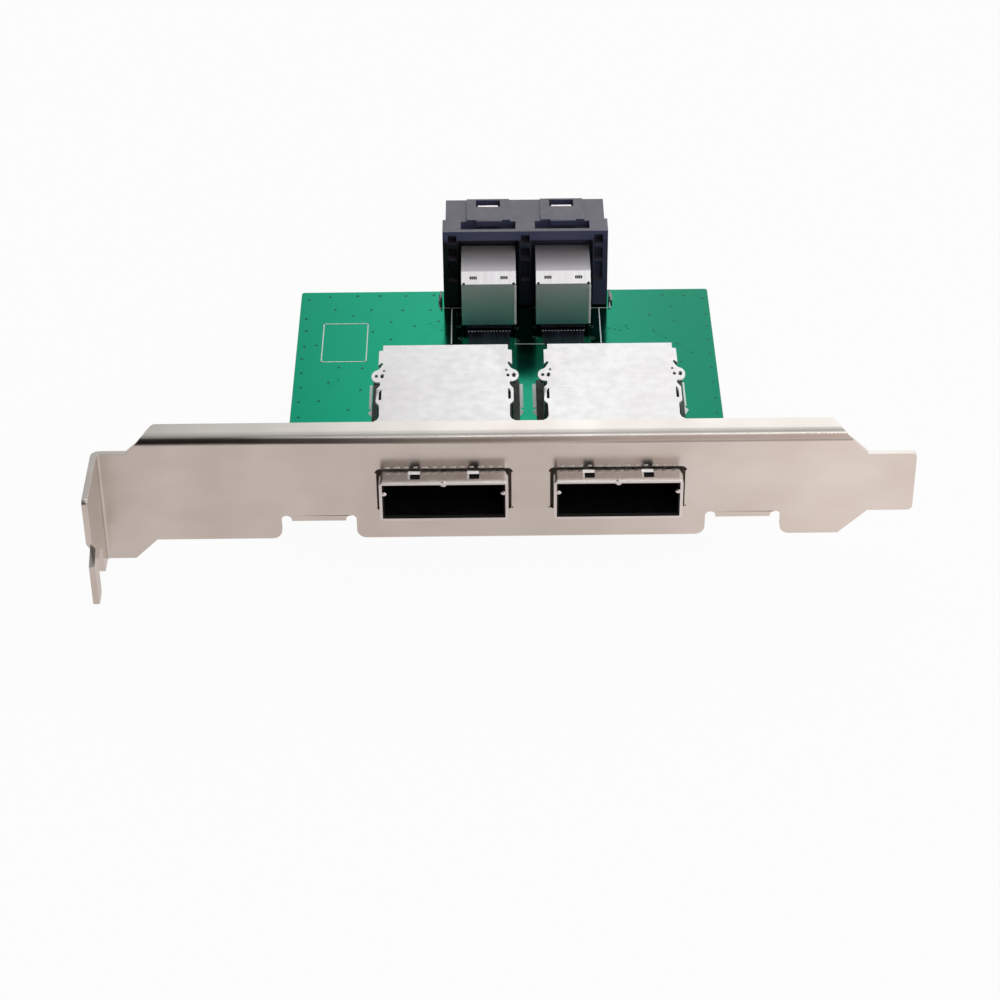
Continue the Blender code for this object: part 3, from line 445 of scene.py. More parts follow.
def strip(x0, y0, x1, y1, width):
    """The outline of a straight line of print or copper."""
    along = Vector((x1 - x0, y1 - y0)).normalized() * width / 2
    side = Vector((-along.y, along.x))
    ends = (
        Vector((x0, y0)) - along - side,
        Vector((x1, y1)) + along - side,
        Vector((x1, y1)) + along + side,
        Vector((x0, y0)) - along + side,
    )
    return [(point.x, point.y) for point in ends]


def scaled(points):
    return [(x * MM, y * MM) for x, y in points]


def joined(name, pieces):
    only(*pieces)
    bpy.ops.object.join()
    piece = bpy.context.object
    piece.name = piece.data.name = name
    return piece


def two_finishes(piece, main, other, takes_other):
    """Gives the faces whose normal passes a test the other finish, and the rest the main one."""
    piece.data.materials.clear()
    piece.data.materials.append(main)
    piece.data.materials.append(other)
    for face in piece.data.polygons:
        face.material_index = 1 if takes_other(face.normal) else 0


# The mask's green is painted darker from left to right across the board, a painted shade.
MASK_LIT_LEFT = (0.001, 0.34, 0.19)
MASK_SHADED_RIGHT = (0.002, 0.19, 0.108)
solder_mask = new_material("green_solder_mask", MASK_LIT_LEFT, 0.15, 1.0)
shade_across_board = ramp(solder_mask, place_parts(solder_mask), "X", -36 * MM, 24 * MM, 0.0, 1.0)
paint(solder_mask, colour_mix(solder_mask, shade_across_board, "Result", MASK_LIT_LEFT, MASK_SHADED_RIGHT))
vary_roughness(solder_mask, grain(solder_mask, 400.0), 0.12, 0.18)
bumps(solder_mask, grain(solder_mask, 2600.0), 0.08, 0.01 * MM)
laminate_edge = new_material("laminate_edge", (0.22, 0.42, 0.20), 0.7)
glass_layers = grain(laminate_edge, 300.0, (1.0, 1.0, 14.0))
vary_colour(laminate_edge, glass_layers, (0.10, 0.30, 0.14), (0.34, 0.50, 0.26))

board = merged_copy("board_laminate", "circuit_board")
roll_edges(board, 0.06 * MM, segments=1, angle=40.0)
two_finishes(board, solder_mask, laminate_edge, lambda normal: abs(normal.z) <= 0.5)
dress(board, None, "board_laminate", "circuit_board")

VIAS = (
    (-35.4, 56.4), (-32.0, 57.2), (-27.5, 57.4), (-23.8, 57.4), (-19.6, 57.3), (-15.0, 57.5),
    (-31.0, 53.4), (-25.1, 53.2), (-20.0, 53.0), (-15.5, 52.9), (-28.0, 51.5), (-35.6, 50.7),
    (-21.8, 49.5), (-14.1, 49.6), (-18.0, 48.2), (-35.4, 47.1), (-24.7, 46.7), (-21.7, 44.4),
    (-33.6, 42.9), (-35.5, 42.5), (-35.7, 39.0), (-29.7, 36.5), (-26.0, 36.2), (-35.6, 35.0),
    (-31.2, 32.3), (-35.5, 31.0), (-26.1, 30.2), (-32.5, 27.2), (-35.6, 27.0), (-27.8, 24.7),
    (-35.4, 22.9), (-33.9, 18.4), (-28.6, 17.6), (-35.6, 13.9), (-25.9, 13.1), (-35.4, 6.0),
    (22.5, 56.9), (26.0, 56.6), (29.0, 55.7), (23.7, 53.3), (29.2, 50.9), (20.1, 51.0),
    (24.0, 49.1), (20.5, 46.4), (29.2, 47.5), (29.1, 43.5), (24.1, 42.4), (29.1, 39.4),
    (24.4, 37.2), (29.1, 35.5), (29.0, 31.3), (29.1, 27.0), (29.0, 23.0), (25.6, 18.2),
    (29.1, 17.0), (28.9, 12.6), (1.2, 35.6), (-0.9, 29.8), (0.8, 19.5), (-0.6, 12.4),
)
via_mask = new_material("covered_via", (0.006, 0.11, 0.07), 0.22, 0.9)
vary_colour(via_mask, grain(via_mask, 900.0), (0.004, 0.10, 0.065), (0.008, 0.15, 0.10))
VIA_RADIUS = 0.24
via_loops = [scaled(oval(x, y, VIA_RADIUS, VIA_RADIUS, 10)) for x, y in VIAS]
vias = flat_shape("board_vias", via_loops, SUNK, 0.02 * MM)
dress(vias, via_mask, "board_laminate")

# Each line of print from its start to its end, and its width.
FINE_LINE = 0.09
WIDE_LINE = 0.17
PRINT = (
    (-14.0, 53.5, -12.3, 53.5, FINE_LINE), (-12.0, 53.5, -1.6, 53.4, FINE_LINE),
    (1.4, 53.3, 13.7, 53.1, FINE_LINE), (-14.0, 57.7, -14.0, 53.5, FINE_LINE),
    (13.75, 57.9, 13.75, 53.1, WIDE_LINE), (-12.0, 53.2, -12.0, 43.0, WIDE_LINE),
    (11.95, 53.0, 11.95, 42.8, WIDE_LINE), (-1.9, 42.7, 2.8, 42.6, FINE_LINE),
    (-32.6, 49.1, -25.5, 49.1, WIDE_LINE), (-32.6, 38.1, -25.5, 38.1, WIDE_LINE),
    (-32.6, 49.1, -32.6, 38.1, WIDE_LINE), (-25.5, 49.1, -25.5, 38.1, WIDE_LINE),
)
board_print = new_material("white_board_print", (0.78, 0.84, 0.80), 0.5)
vary_colour(board_print, grain(board_print, 1500.0), (0.80, 0.90, 0.86), (0.92, 0.96, 0.94))
lines = [flat_shape("line", [scaled(strip(*line))], SUNK, 0.025 * MM) for line in PRINT]
dress(joined("board_print", lines), board_print, "board_laminate")

RINGS = (
    (-10.8, 51.5), (-10.8, 48.0), (-10.5, 44.5), (1.4, 51.0), (-1.6, 47.3), (1.45, 47.8),
    (1.4, 44.4), (-1.5, 43.6), (10.5, 47.6), (10.55, 44.2),
)
RING_RADII = (0.42, 0.28)
ring_loops = [scaled(oval(x, y, radius, radius, 12)) for x, y in RINGS for radius in RING_RADII]
rings = flat_shape("board_ring_pads", ring_loops, SUNK, 0.02 * MM)
pad_tin = new_material("pad_tin", (0.30, 0.42, 0.34), 0.3, 1.0)
vary_roughness(pad_tin, grain(pad_tin, 2000.0), 0.22, 0.42)
dress(rings, pad_tin, "tinned_steel")

TRACES = (
    ((13.4, 42.7), (13.4, 47.0), (14.7, 48.6)), ((14.2, 42.7), (14.2, 46.7), (15.7, 48.4)),
    ((15.0, 42.7), (15.0, 46.4), (16.4, 48.0)), ((16.4, 42.7), (16.4, 46.9), (15.4, 49.8)),
    ((-13.6, 43.0), (-13.6, 47.0), (-15.5, 49.0), (-15.5, 52.6)),
    ((-17.9, 34.0), (-22.0, 38.5), (-22.0, 44.0)), ((20.5, 46.0), (22.4, 44.0), (22.4, 34.0)),
    ((24.1, 42.0), (26.3, 39.8), (26.3, 24.0)), ((-29.7, 36.0), (-29.7, 33.0), (-31.0, 31.6)),
    ((-26.1, 30.6), (-26.1, 35.8)), ((-27.8, 25.0), (-27.8, 17.8)), ((25.6, 18.6), (25.6, 21.0)),
)
RUN_WIDTH = 0.22
runs = []
for points in TRACES:
    for (x0, y0), (x1, y1) in zip(points, points[1:]):
        run = scaled(strip(x0, y0, x1, y1, RUN_WIDTH))
        runs.append(flat_shape("board_copper_runs", [run], SUNK, 0.015 * MM))
dress(joined("board_copper_runs", runs), solder_mask, "board_laminate")


# Board screws: two zinc-plated pan heads with a cross recess, which clamp the board to the
# bracket's lugs. Their tips stand a little below the lugs.
def block(name, low, high, roll=0.0, segments=2):
    """A block between two opposite corners in millimetres, its edges rolled."""
    middle = [(a + b) / 2 * MM for a, b in zip(low, high)]
    size = [(b - a) * MM for a, b in zip(low, high)]
    bpy.ops.mesh.primitive_cube_add(size=1.0, location=middle, scale=size)
    piece = bpy.context.object
    piece.name = piece.data.name = name
    bpy.ops.object.transform_apply(location=True, rotation=True, scale=True)
    if roll:
        roll_edges(piece, roll * MM, segments)
    return piece


def rod(name, x, y, low, high, radius, sides):
    bpy.ops.mesh.primitive_cylinder_add(
        vertices=sides, radius=radius * MM, depth=(high - low) * MM,
        location=(x * MM, y * MM, (low + high) / 2 * MM),
    )
    piece = bpy.context.object
    piece.name = piece.data.name = name
    bpy.ops.object.transform_apply(location=True, rotation=True, scale=True)
    return piece


def combine(piece, other, operation):
    """Joins another solid to a piece, or cuts it out of it, and clears it away."""
    apply_modifier(piece, "BOOLEAN", operation=operation, object=other, solver="EXACT")
    bpy.data.objects.remove(other, do_unlink=True)


def moved_copy(piece, name, offset):
    """A copy with its own mesh, moved sideways by an offset in millimetres."""
    only(piece)
    bpy.ops.object.duplicate(linked=False)
    twin = bpy.context.object
    twin.name = twin.data.name = name
    twin.location.x = offset * MM
    bpy.ops.object.transform_apply(location=True, rotation=True, scale=True)
    return twin


zinc = new_material("zinc_plate", (0.60, 0.61, 0.63), 0.26, 1.0)
vary_roughness(zinc, grain(zinc, 900.0), 0.2, 0.36)
bumps(zinc, grain(zinc, 2500.0), 0.1, 0.01 * MM)

SCREW_PLACES = (("left", -31.25), ("right", 27.0))
SCREW_Y = 7.7
HEAD_RADIUS = 2.3
SHANK_RADIUS = 1.22
THREAD_RADIUS = 1.25
THREAD_STEP = 0.3
THREAD_HEIGHT = 0.14
CROWN_ROLL = 0.9
RECESS_ARMS = ((1.25, 0.27), (0.27, 1.25))
screw = rod("board_screw", 0.0, SCREW_Y, 0.3, 1.8, HEAD_RADIUS, 40)
only(screw)
bpy.ops.object.mode_set(mode="EDIT")
bpy.ops.mesh.select_all(action="DESELECT")
bpy.ops.object.mode_set(mode="OBJECT")
for edge in screw.data.edges:
    edge.select = all(screw.data.vertices[i].co.z > 1.7 * MM for i in edge.vertices)
bpy.ops.object.mode_set(mode="EDIT")
bpy.ops.mesh.bevel(offset=CROWN_ROLL * MM, segments=5, profile=0.5)
bpy.ops.object.mode_set(mode="OBJECT")
shank = rod("shank", 0.0, SCREW_Y, -3.2, 1.0, SHANK_RADIUS, 24)
roll_edges(shank, 0.25 * MM, 1)
combine(screw, shank, "UNION")
for thread in range(3):
    low = -3.0 + THREAD_STEP * thread
    ridge = rod("ridge", 0.0, SCREW_Y, low, low + THREAD_HEIGHT, THREAD_RADIUS, 24)
    combine(screw, ridge, "UNION")
for half_x, half_y in RECESS_ARMS:
    recess = block("recess", (-half_x, SCREW_Y - half_y, 0.95), (half_x, SCREW_Y + half_y, 2.4))
    combine(screw, recess, "DIFFERENCE")
for side, x in SCREW_PLACES:
    screw_copy = moved_copy(screw, f"board_screw_{side}_head", x)
    dress(screw_copy, zinc, "screw_steel", f"board_screw_{side}")
bpy.data.objects.remove(screw, do_unlink=True)


# Port shells: drawn tinned-steel sleeves that stand out through the bracket, with a rolled
# front edge. Two windows in the roof have bent tongues, and three dimples grip the plug.
def side_profile(name, points, left, right):
    """An outline of (depth, height) points, pressed from one side to the other."""
    piece = flat_shape(name, [scaled(points)], left * MM, right * MM)
    only(piece)
    piece.rotation_euler = (math.radians(90.0), 0.0, math.radians(90.0))
    bpy.ops.object.transform_apply(location=True, rotation=True, scale=True)
    return piece


def copies_at(pattern, offsets):
    """Copies of a pattern at sideways offsets in millimetres. The pattern is cleared away."""
    copies = [moved_copy(pattern, pattern.name, offset) for offset in offsets]
    bpy.data.objects.remove(pattern, do_unlink=True)
    return copies


def in_a_row(count, pitch):
    """The offsets of a row of like things about its own middle."""
    return [(index - (count - 1) / 2) * pitch for index in range(count)]


def middle_copy(name, node, offset):
    """A merged copy of a node of one side, moved to the middle of the card."""
    piece = merged_copy(name, node)
    piece.location.x = offset * MM
    bpy.ops.object.transform_apply(location=True, rotation=True, scale=True)
    return piece


def on_both_sides(pattern, name, places, stuff, slot, node=None):
    """Puts a finished pattern at each place and dresses the copies."""
    for side, x in places:
        twin = moved_copy(pattern, f"{side}_{name}", x)
        dress(twin, stuff, slot, *([f"{side}_{node}"] if node else []))
    bpy.data.objects.remove(pattern, do_unlink=True)


def dimple(x, z, half_wide, half_high):
    """A round bump that stands out at the shell's rim."""
    place = (x * MM, DIMPLE_Y * MM, z * MM)
    shape = (half_wide, DIMPLE_HEIGHT, half_high)
    bpy.ops.mesh.primitive_uv_sphere_add(
        segments=20, ring_count=12, radius=MM, location=place, scale=shape
    )
    bpy.ops.object.transform_apply(location=True, rotation=True, scale=True)
    return bpy.context.object


tin = new_material("bright_tin", (0.82, 0.80, 0.79), 0.2, 1.0)
vary_colour(tin, grain(tin, 120.0), (0.77, 0.74, 0.73), (0.86, 0.84, 0.83))
vary_roughness(tin, grain(tin, 700.0), 0.16, 0.26)
bumps(tin, grain(tin, 1800.0), 0.06, 0.01 * MM)

PORT_OFFSET = 12.7
PORT_PLACES = (("left", -PORT_OFFSET), ("right", PORT_OFFSET))
ROLL_START = -2.3
ROLL_DROP = 0.13
WINDOWS = (-4.3, 4.3)
DIMPLE_Y = -2.88
DIMPLE_HEIGHT = 0.22
TONGUE = [(-0.15, 6.34), (-0.2, 6.16), (-0.6, 5.94), (-0.65, 6.1)]
SLIVER = [(-0.9, 6.3), (-0.9, 6.12), (-2.2, 5.82), (-2.2, 6.0)]
shell = middle_copy("port_sleeve", "left_port_shell", PORT_OFFSET)
bpy.ops.object.mode_set(mode="EDIT")
bpy.ops.mesh.select_all(action="SELECT")
bpy.ops.mesh.bisect(plane_co=(0.0, ROLL_START * MM, 0.0), plane_no=(0.0, 1.0, 0.0))
bpy.ops.mesh.select_all(action="DESELECT")
bpy.ops.object.mode_set(mode="OBJECT")
for corner in shell.data.vertices:
    corner.select = corner.co.y < -3.0 * MM and corner.co.z > 6.3 * MM
bpy.ops.object.mode_set(mode="EDIT")
bpy.ops.transform.translate(value=(0.0, 0.0, -ROLL_DROP * MM))
bpy.ops.object.mode_set(mode="OBJECT")
roll_edges(shell, 0.05 * MM, 2, 40.0)
extras = [dimple(0.0, 5.95, 0.52, 0.52), dimple(-8.75, 4.25, 0.5, 0.36), dimple(8.75, 4.25, 0.5, 0.36)]
extras += copies_at(side_profile("tongue", TONGUE, -0.85, 0.85), WINDOWS)
extras += copies_at(side_profile("sliver", SLIVER, -0.87, -0.58), WINDOWS)
shell = joined("port_sleeve", [shell] + extras)
on_both_sides(shell, "port_sleeve", PORT_PLACES, tin, "tinned_steel", "port_shell")

FINGER_COUNT = 13
FINGER_PITCH = 1.36
FINGER_WIDTHS = (0.62, 0.9, 0.7)
finger_metal = new_material("spring_finger", (0.84, 0.80, 0.75), 0.5, 0.25)
vary_roughness(finger_metal, grain(finger_metal, 900.0), 0.34, 0.48)
finger_offsets = in_a_row(FINGER_COUNT, FINGER_PITCH)
fingers = []
for start, width in enumerate(FINGER_WIDTHS):
    finger = block("finger", (-width / 2, -0.1, 6.78), (width / 2, 0.4, 7.02), 0.06, 2)
    fingers += copies_at(finger, finger_offsets[start::len(FINGER_WIDTHS)])
fingers = joined("port_spring_fingers", fingers)
on_both_sides(fingers, "port_spring_fingers", PORT_PLACES, finger_metal, "tinned_steel")

CHEEK_OFFSETS = (-9.99, 9.99)
cheeks = copies_at(block("cheek", (-0.14, 0.0, -0.7), (0.14, 0.8, 5.9), 0.05, 2), CHEEK_OFFSETS)
cheeks = joined("port_contact_cheeks", cheeks)
on_both_sides(cheeks, "port_contact_cheeks", PORT_PLACES, nickel, "nickel_steel")


# Port mouldings: black plastic lines each shell and carries the gold contacts, and a brown
# foam gasket closes the gap between the shell and the bracket from behind.
black = new_material("black_moulding", (0.006, 0.006, 0.007), 0.42)
shader_of(black).inputs["Specular IOR Level"].default_value = 0.25
vary_colour(black, grain(black, 500.0), (0.005, 0.005, 0.006), (0.009, 0.009, 0.011))
vary_roughness(black, grain(black, 1500.0), 0.36, 0.5)
foam = new_material("conductive_foam", (0.13, 0.10, 0.085), 0.8)
vary_colour(foam, grain(foam, 2200.0), (0.09, 0.065, 0.055), (0.19, 0.145, 0.12))
bumps(foam, grain(foam, 3500.0), 0.4, 0.05 * MM)
gold = new_material("gold_contact", (0.86, 0.60, 0.22), 0.22, 1.0)
vary_roughness(gold, grain(gold, 2500.0), 0.16, 0.3)

lining = block("port_lining", (-8.93, -2.65, -0.03), (8.93, 5.55, 5.9))
combine(lining, block("hollow", (-8.74, -4.0, 0.17), (8.74, 7.0, 5.72)), "DIFFERENCE")
combine(lining, block("over_board", (-10.0, 1.2, -1.0), (10.0, 7.0, 0.03)), "DIFFERENCE")
on_both_sides(lining, "port_lining", PORT_PLACES, black, "black_plastic")
gasket = block("port_gasket", (-10.7, 0.89, -1.2), (10.7, 1.12, 6.62))
combine(gasket, block("hollow", (-9.43, 0.0, -0.53), (9.43, 2.0, 6.4)), "DIFFERENCE")
roll_edges(gasket, 0.04 * MM, 1)
on_both_sides(gasket, "port_gasket", PORT_PLACES, foam, "black_plastic")

PORT_CONTACT_COUNT = 13
PORT_CONTACT_PITCH = 0.8
TIP_HEIGHTS = ((1.88, 2.53), (3.57, 4.22))
tips = []
for low, high in TIP_HEIGHTS:
    tip = block("tip", (-0.2, 5.9, low), (0.2, 7.2, high), 0.05, 1)
    tips += copies_at(tip, in_a_row(PORT_CONTACT_COUNT, PORT_CONTACT_PITCH))
tips = joined("port_contact_tips", tips)
on_both_sides(tips, "port_contact_tips", PORT_PLACES, gold, "tinned_steel")
for side, _ in PORT_PLACES:
    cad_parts[f"{side}_port_insulator"].material_slots[0].material = black
    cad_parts[f"{side}_port_tails"].material_slots[0].material = tin


# Port cages: folded tinned sheet over each port, soldered to the board. The roof has round ears
# and slotted lugs at its sides, with dark liners under them, and its edges are painted paler than
# the tin as a painted highlight. A dark bed and white print lie on the board along both sides.
cage_tin = new_material("cage_tin", (0.70, 0.69, 0.70), 0.26, 1.0)
vary_colour(cage_tin, grain(cage_tin, 90.0), (0.68, 0.665, 0.675), (0.73, 0.72, 0.73))
vary_roughness(cage_tin, grain(cage_tin, 600.0), 0.22, 0.32)
bumps(cage_tin, grain(cage_tin, 1500.0), 0.04, 0.01 * MM)
# The roof's edges get a paler copy of the tin, a painted highlight.
cage_edge_highlight = new_material("cage_edge_painted_highlight", (0.95, 0.95, 0.95), 0.45, 1.0)
vary_roughness(cage_edge_highlight, grain(cage_edge_highlight, 900.0), 0.4, 0.5)

ROOF_LOW = 6.67
ROOF_HIGH = 7.02
EAR_MIDDLE = (10.15, 23.6)
EAR_HALF_WIDE = 1.1
EAR_HALF_DEEP = 1.65
EAR = [
    (EAR_MIDDLE[0] + EAR_HALF_WIDE * math.cos(turn), EAR_MIDDLE[1] + EAR_HALF_DEEP * math.sin(turn))
    for turn in (math.radians(step) for step in range(-80, 81, 16))
]
HALF_ROOF = (
    [(11.3, 1.16), (11.3, 11.2), (10.85, 11.35), (10.05, 12.0), (9.8, 12.8), (9.85, 15.8), (10.4, 16.7)]
    + [(10.4, 20.0), (9.85, 21.1), (9.85, 21.9)]
    + EAR
    + [(10.05, 25.6), (9.5, 26.95), (9.78, 27.3), (10.25, 26.6)]
    + [(10.25, 30.5), (9.65, 30.62), (9.65, 32.05)]
)
LUG_SLOT = [(9.58, 17.2), (9.98, 17.2), (9.98, 19.3), (9.72, 20.0), (9.58, 19.9)]
# The holes in each side's ear: place across and along, half width and half depth.
EAR_HOLES = {
    -1: ((10.5, 23.6, 0.25, 0.42), (9.6, 23.6, 0.3, 0.6), (9.35, 25.0, 0.2, 0.35)),
    1: ((10.5, 23.6, 0.3, 0.6), (9.6, 23.6, 0.25, 0.42), (9.35, 25.0, 0.2, 0.35)),
}
# The walls of one side: outer face, start, end and top.
HALF_WALLS = (
    (11.32, 1.16, 11.2, 6.9), (10.2, 26.9, 30.45, 6.9), (9.63, 30.3, 32.03, 6.9),
    (10.38, 16.8, 20.1, 6.9), (9.5, 12.0, 26.0, 6.7),
)
WALL_THICKNESS = 0.24
roof_loops = [scaled(HALF_ROOF + [(-a, b) for a, b in reversed(HALF_ROOF)])]
for sign in (-1, 1):
    roof_loops.append(scaled([(sign * a, b) for a, b in LUG_SLOT]))
    for place, y, half_wide, half_deep in EAR_HOLES[sign]:
        roof_loops.append(scaled(oval(sign * place, y, half_wide, half_deep, 16)))
hood = flat_shape("port_hood", roof_loops, ROOF_LOW * MM, ROOF_HIGH * MM)
roll_edges(hood, 0.09 * MM, 2, 40.0)
two_finishes(hood, cage_tin, cage_edge_highlight, lambda normal: abs(normal.z) < 0.98)
walls = [block("rear_wall", (-9.5, 31.8, 2.2), (9.5, 32.02, 6.8), 0.04, 1)]
for sign in (-1, 1):
    for outer, start, end, top in HALF_WALLS:
        low, high = sorted((sign * outer, sign * (outer - WALL_THICKNESS)))
        walls.append(block("wall", (low, start, 0.02), (high, end, top), 0.05, 2))
for wall in walls:
    wall.data.materials.append(cage_tin)
hood = joined("port_hood", [hood] + walls)
on_both_sides(hood, "port_hood", PORT_PLACES, None, "tinned_steel", "port_cage")

EAR_LINERS = (-9.95, 9.95)
LUG_LINERS = (-9.75, 9.75)
ear_liners = copies_at(block("liner", (-0.85, 22.9, 5.9), (0.85, 25.5, 6.1), 0.03, 1), EAR_LINERS)
ear_liners += copies_at(block("liner", (-0.35, 17.0, 5.9), (0.35, 20.2, 6.1), 0.03, 1), LUG_LINERS)
ear_liners = joined("port_ear_liners", ear_liners)
on_both_sides(ear_liners, "port_ear_liners", PORT_PLACES, black, "black_plastic")

# A dark, slightly bumpy finish for the strips on the board beside the cages.
dark_bed_finish = new_material("dark_side_bed", (0.035, 0.045, 0.033), 0.6)
vary_colour(dark_bed_finish, grain(dark_bed_finish, 420.0), (0.018, 0.024, 0.017), (0.055, 0.068, 0.052))
bumps(dark_bed_finish, grain(dark_bed_finish, 1600.0), 0.3, 0.05 * MM)
BED_OFFSETS = (-10.36, 10.36)
beds = copies_at(block("bed", (-1.06, 19.0, 0.02), (1.06, 32.3, 0.12), 0.04, 1), BED_OFFSETS)
beds = joined("port_side_beds", beds)
on_both_sides(beds, "port_side_beds", PORT_PLACES, dark_bed_finish, "black_plastic")

# White lines and small triangles on the board, beside the cages.
SIDE_LINES = ((-24.63, -24.23), (-1.4, -0.75), (0.75, 1.4), (24.2, 24.48))
MARK_BASE = 11.25
MARK_TIP = 12.05
side_loops = [[(low, 24.8), (high, 24.8), (high, 31.3), (low, 31.3)] for low, high in SIDE_LINES]
for _, x in PORT_PLACES:
    for sign in (-1, 1):
        base = x + sign * MARK_BASE
        side_loops.append([(base, 22.2), (x + sign * MARK_TIP, 23.8), (base, 25.0)])
side_print = [flat_shape("side_print", [scaled(loop)], SUNK, 0.03 * MM) for loop in side_loops]
dress(joined("port_side_print", side_print), board_print, "board_laminate")


# Inner connector housing: one black moulding with cored pockets in its front wall and two mouths
# to the rear. Bright latch plates stand in its roof and gold contacts lie on the noses in the
# mouths. Its roof is painted lighter than its front as painted light and shade, and the front has
# a painted blue-grey reflection that grows to the right and along its top.
# The roof and the front take lit and shaded copies of the black moulding.
housing_plastic_lit_top = new_material("satin_moulding_painted_lit_top", (0.008, 0.008, 0.012), 0.44)
housing_shader = shader_of(housing_plastic_lit_top)
housing_shader.inputs["Specular IOR Level"].default_value = 1.0
housing_shader.inputs["IOR"].default_value = 1.62
housing_shader.inputs["Specular Tint"].default_value = (0.88, 0.87, 1.0, 1.0)
vary_colour(housing_plastic_lit_top, grain(housing_plastic_lit_top, 350.0), (0.060, 0.058, 0.072), (0.085, 0.082, 0.100))
vary_roughness(housing_plastic_lit_top, grain(housing_plastic_lit_top, 1400.0), 0.38, 0.5)
bumps(housing_plastic_lit_top, grain(housing_plastic_lit_top, 3000.0), 0.12, 0.02 * MM)

WAFER_OFFSET = 5.95
WAFER_PLACES = (("left", -WAFER_OFFSET), ("right", WAFER_OFFSET))
POCKET_SIDES = ((-12.45, -11.05), (-0.7, 0.7), (11.05, 12.45))
# The pockets' lowest and highest points, and how far back they reach.
POCKET_HEIGHTS = ((11.95, 13.6, 55.2), (8.95, 11.2, 55.2), (4.9, 8.55, 54.9))
housing = merged_copy("inner_connector_housing", "inner_housing")
for left, right_edge in POCKET_SIDES:
    for low, high, back in POCKET_HEIGHTS:
        combine(housing, block("pocket", (left, 53.0, low), (right_edge, back, high)), "DIFFERENCE")
for _, x in WAFER_PLACES:
    combine(housing, block("tongue", (x - 3.4, 56.85, 13.6), (x + 3.6, 58.2, 14.64)), "UNION")
    combine(housing, block("tongue_end", (x - 1.9, 56.42, 13.7), (x + 2.25, 57.6, 14.63)), "UNION")
    for sign in (-1, 1):
        low, high = sorted((x + sign * 4.15, x + sign * 4.45))
        combine(housing, block("key_way", (low, 58.5, 3.2), (high, 64.5, 4.6)), "DIFFERENCE")
apply_modifier(housing, "TRIANGULATE")
roll_edges(housing, 0.08 * MM, 2, 40.0)
# The front's painted shade, with a painted blue-grey reflection to the right and along its top.
FRONT_PAINTED_SHADE = (0.003, 0.003, 0.005)
FRONT_PAINTED_REFLECTION = (0.075, 0.085, 0.17)
front_plastic_painted_shade = new_material("front_moulding_painted_shade", FRONT_PAINTED_SHADE, 0.5)
shader_of(front_plastic_painted_shade).inputs["Specular IOR Level"].default_value = 0.4
front_parts = place_parts(front_plastic_painted_shade)
reflection_to_right = ramp(front_plastic_painted_shade, front_parts, "X", -12 * MM, 13 * MM, 0.02, 0.55)
reflection_to_top = ramp(front_plastic_painted_shade, front_parts, "Z", 12.0 * MM, 12.9 * MM, 0.0, 1.0)
painted_sheen = maths(front_plastic_painted_shade, "MAXIMUM", reflection_to_right, reflection_to_top)
paint(front_plastic_painted_shade, colour_mix(front_plastic_painted_shade, painted_sheen, 0, FRONT_PAINTED_SHADE, FRONT_PAINTED_REFLECTION))
vary_roughness(front_plastic_painted_shade, grain(front_plastic_painted_shade, 1400.0), 0.44, 0.56)
two_finishes(housing, housing_plastic_lit_top, front_plastic_painted_shade, lambda normal: normal.y < -0.8)
dress(housing, None, "grey_plastic", "inner_housing")

LEAF = [(61.25, 11.8), (61.45, 11.8), (61.45, 13.95), (62.15, 14.0), (62.15, 14.2), (61.25, 14.2)]
leaf = side_profile("latch_leaf", LEAF, -1.65, 1.65)
roll_edges(leaf, 0.04 * MM, 2)
on_both_sides(leaf, "latch_leaf", WAFER_PLACES, tin, "tinned_steel", "latch_plate")

NOSE_CONTACT_COUNT = 9
NOSE_CONTACT_PITCH = 0.75
CONTACT_HEIGHTS = ((4.82, 4.92), (8.48, 8.58))
contacts = []
for low, high in CONTACT_HEIGHTS:
    contact = block("contact", (-0.2, 57.1, low), (0.2, 59.0, high), 0.03, 1)
    contacts += copies_at(contact, in_a_row(NOSE_CONTACT_COUNT, NOSE_CONTACT_PITCH))
contacts = joined("nose_contacts", contacts)
on_both_sides(contacts, "nose_contacts", WAFER_PLACES, gold, "tinned_steel")


# Wafer blocks: thin black contact wafers stacked side by side. A row of small feet is soldered
# to the board in front of them, on the ends of nine dark streaked strips.
wafer_black = new_material("wafer_black", (0.012, 0.012, 0.016), 0.4)
vary_colour(wafer_black, grain(wafer_black, 700.0), (0.010, 0.010, 0.013), (0.018, 0.018, 0.024))
vary_roughness(wafer_black, grain(wafer_black, 1800.0), 0.34, 0.5)

WAFER_COUNT = 12
STACK_WIDTH = 7.3
WAFER_SIDE = [(46.9, 0.3), (55.7, 0.3), (55.7, 9.95), (48.1, 9.95), (46.9, 8.75)]
CORE_SIDE = [(47.1, 0.5), (55.6, 0.5), (55.6, 9.7), (48.2, 9.7), (47.1, 8.6)]
wafer = side_profile("wafer", WAFER_SIDE, -0.26, 0.26)
roll_edges(wafer, 0.05 * MM, 1)
wafers = copies_at(wafer, in_a_row(WAFER_COUNT, STACK_WIDTH / WAFER_COUNT))
stack = joined("wafer_stack", wafers + [side_profile("core", CORE_SIDE, -3.6, 3.6)])
on_both_sides(stack, "wafer_stack", WAFER_PLACES, wafer_black, "black_plastic", "wafer_block")

FOOT_COUNT = 14
FOOT_PITCH = 0.5
dull_solder = new_material("dull_solder", (0.46, 0.47, 0.54), 0.4, 1.0)
vary_roughness(dull_solder, grain(dull_solder, 1500.0), 0.3, 0.5)
foot = block("foot", (-0.16, 46.3, 0.02), (0.16, 46.62, 0.14), 0.04, 1)
feet = joined("wafer_feet", copies_at(foot, in_a_row(FOOT_COUNT, FOOT_PITCH)))
on_both_sides(feet, "wafer_feet", WAFER_PLACES, dull_solder, "tinned_steel")

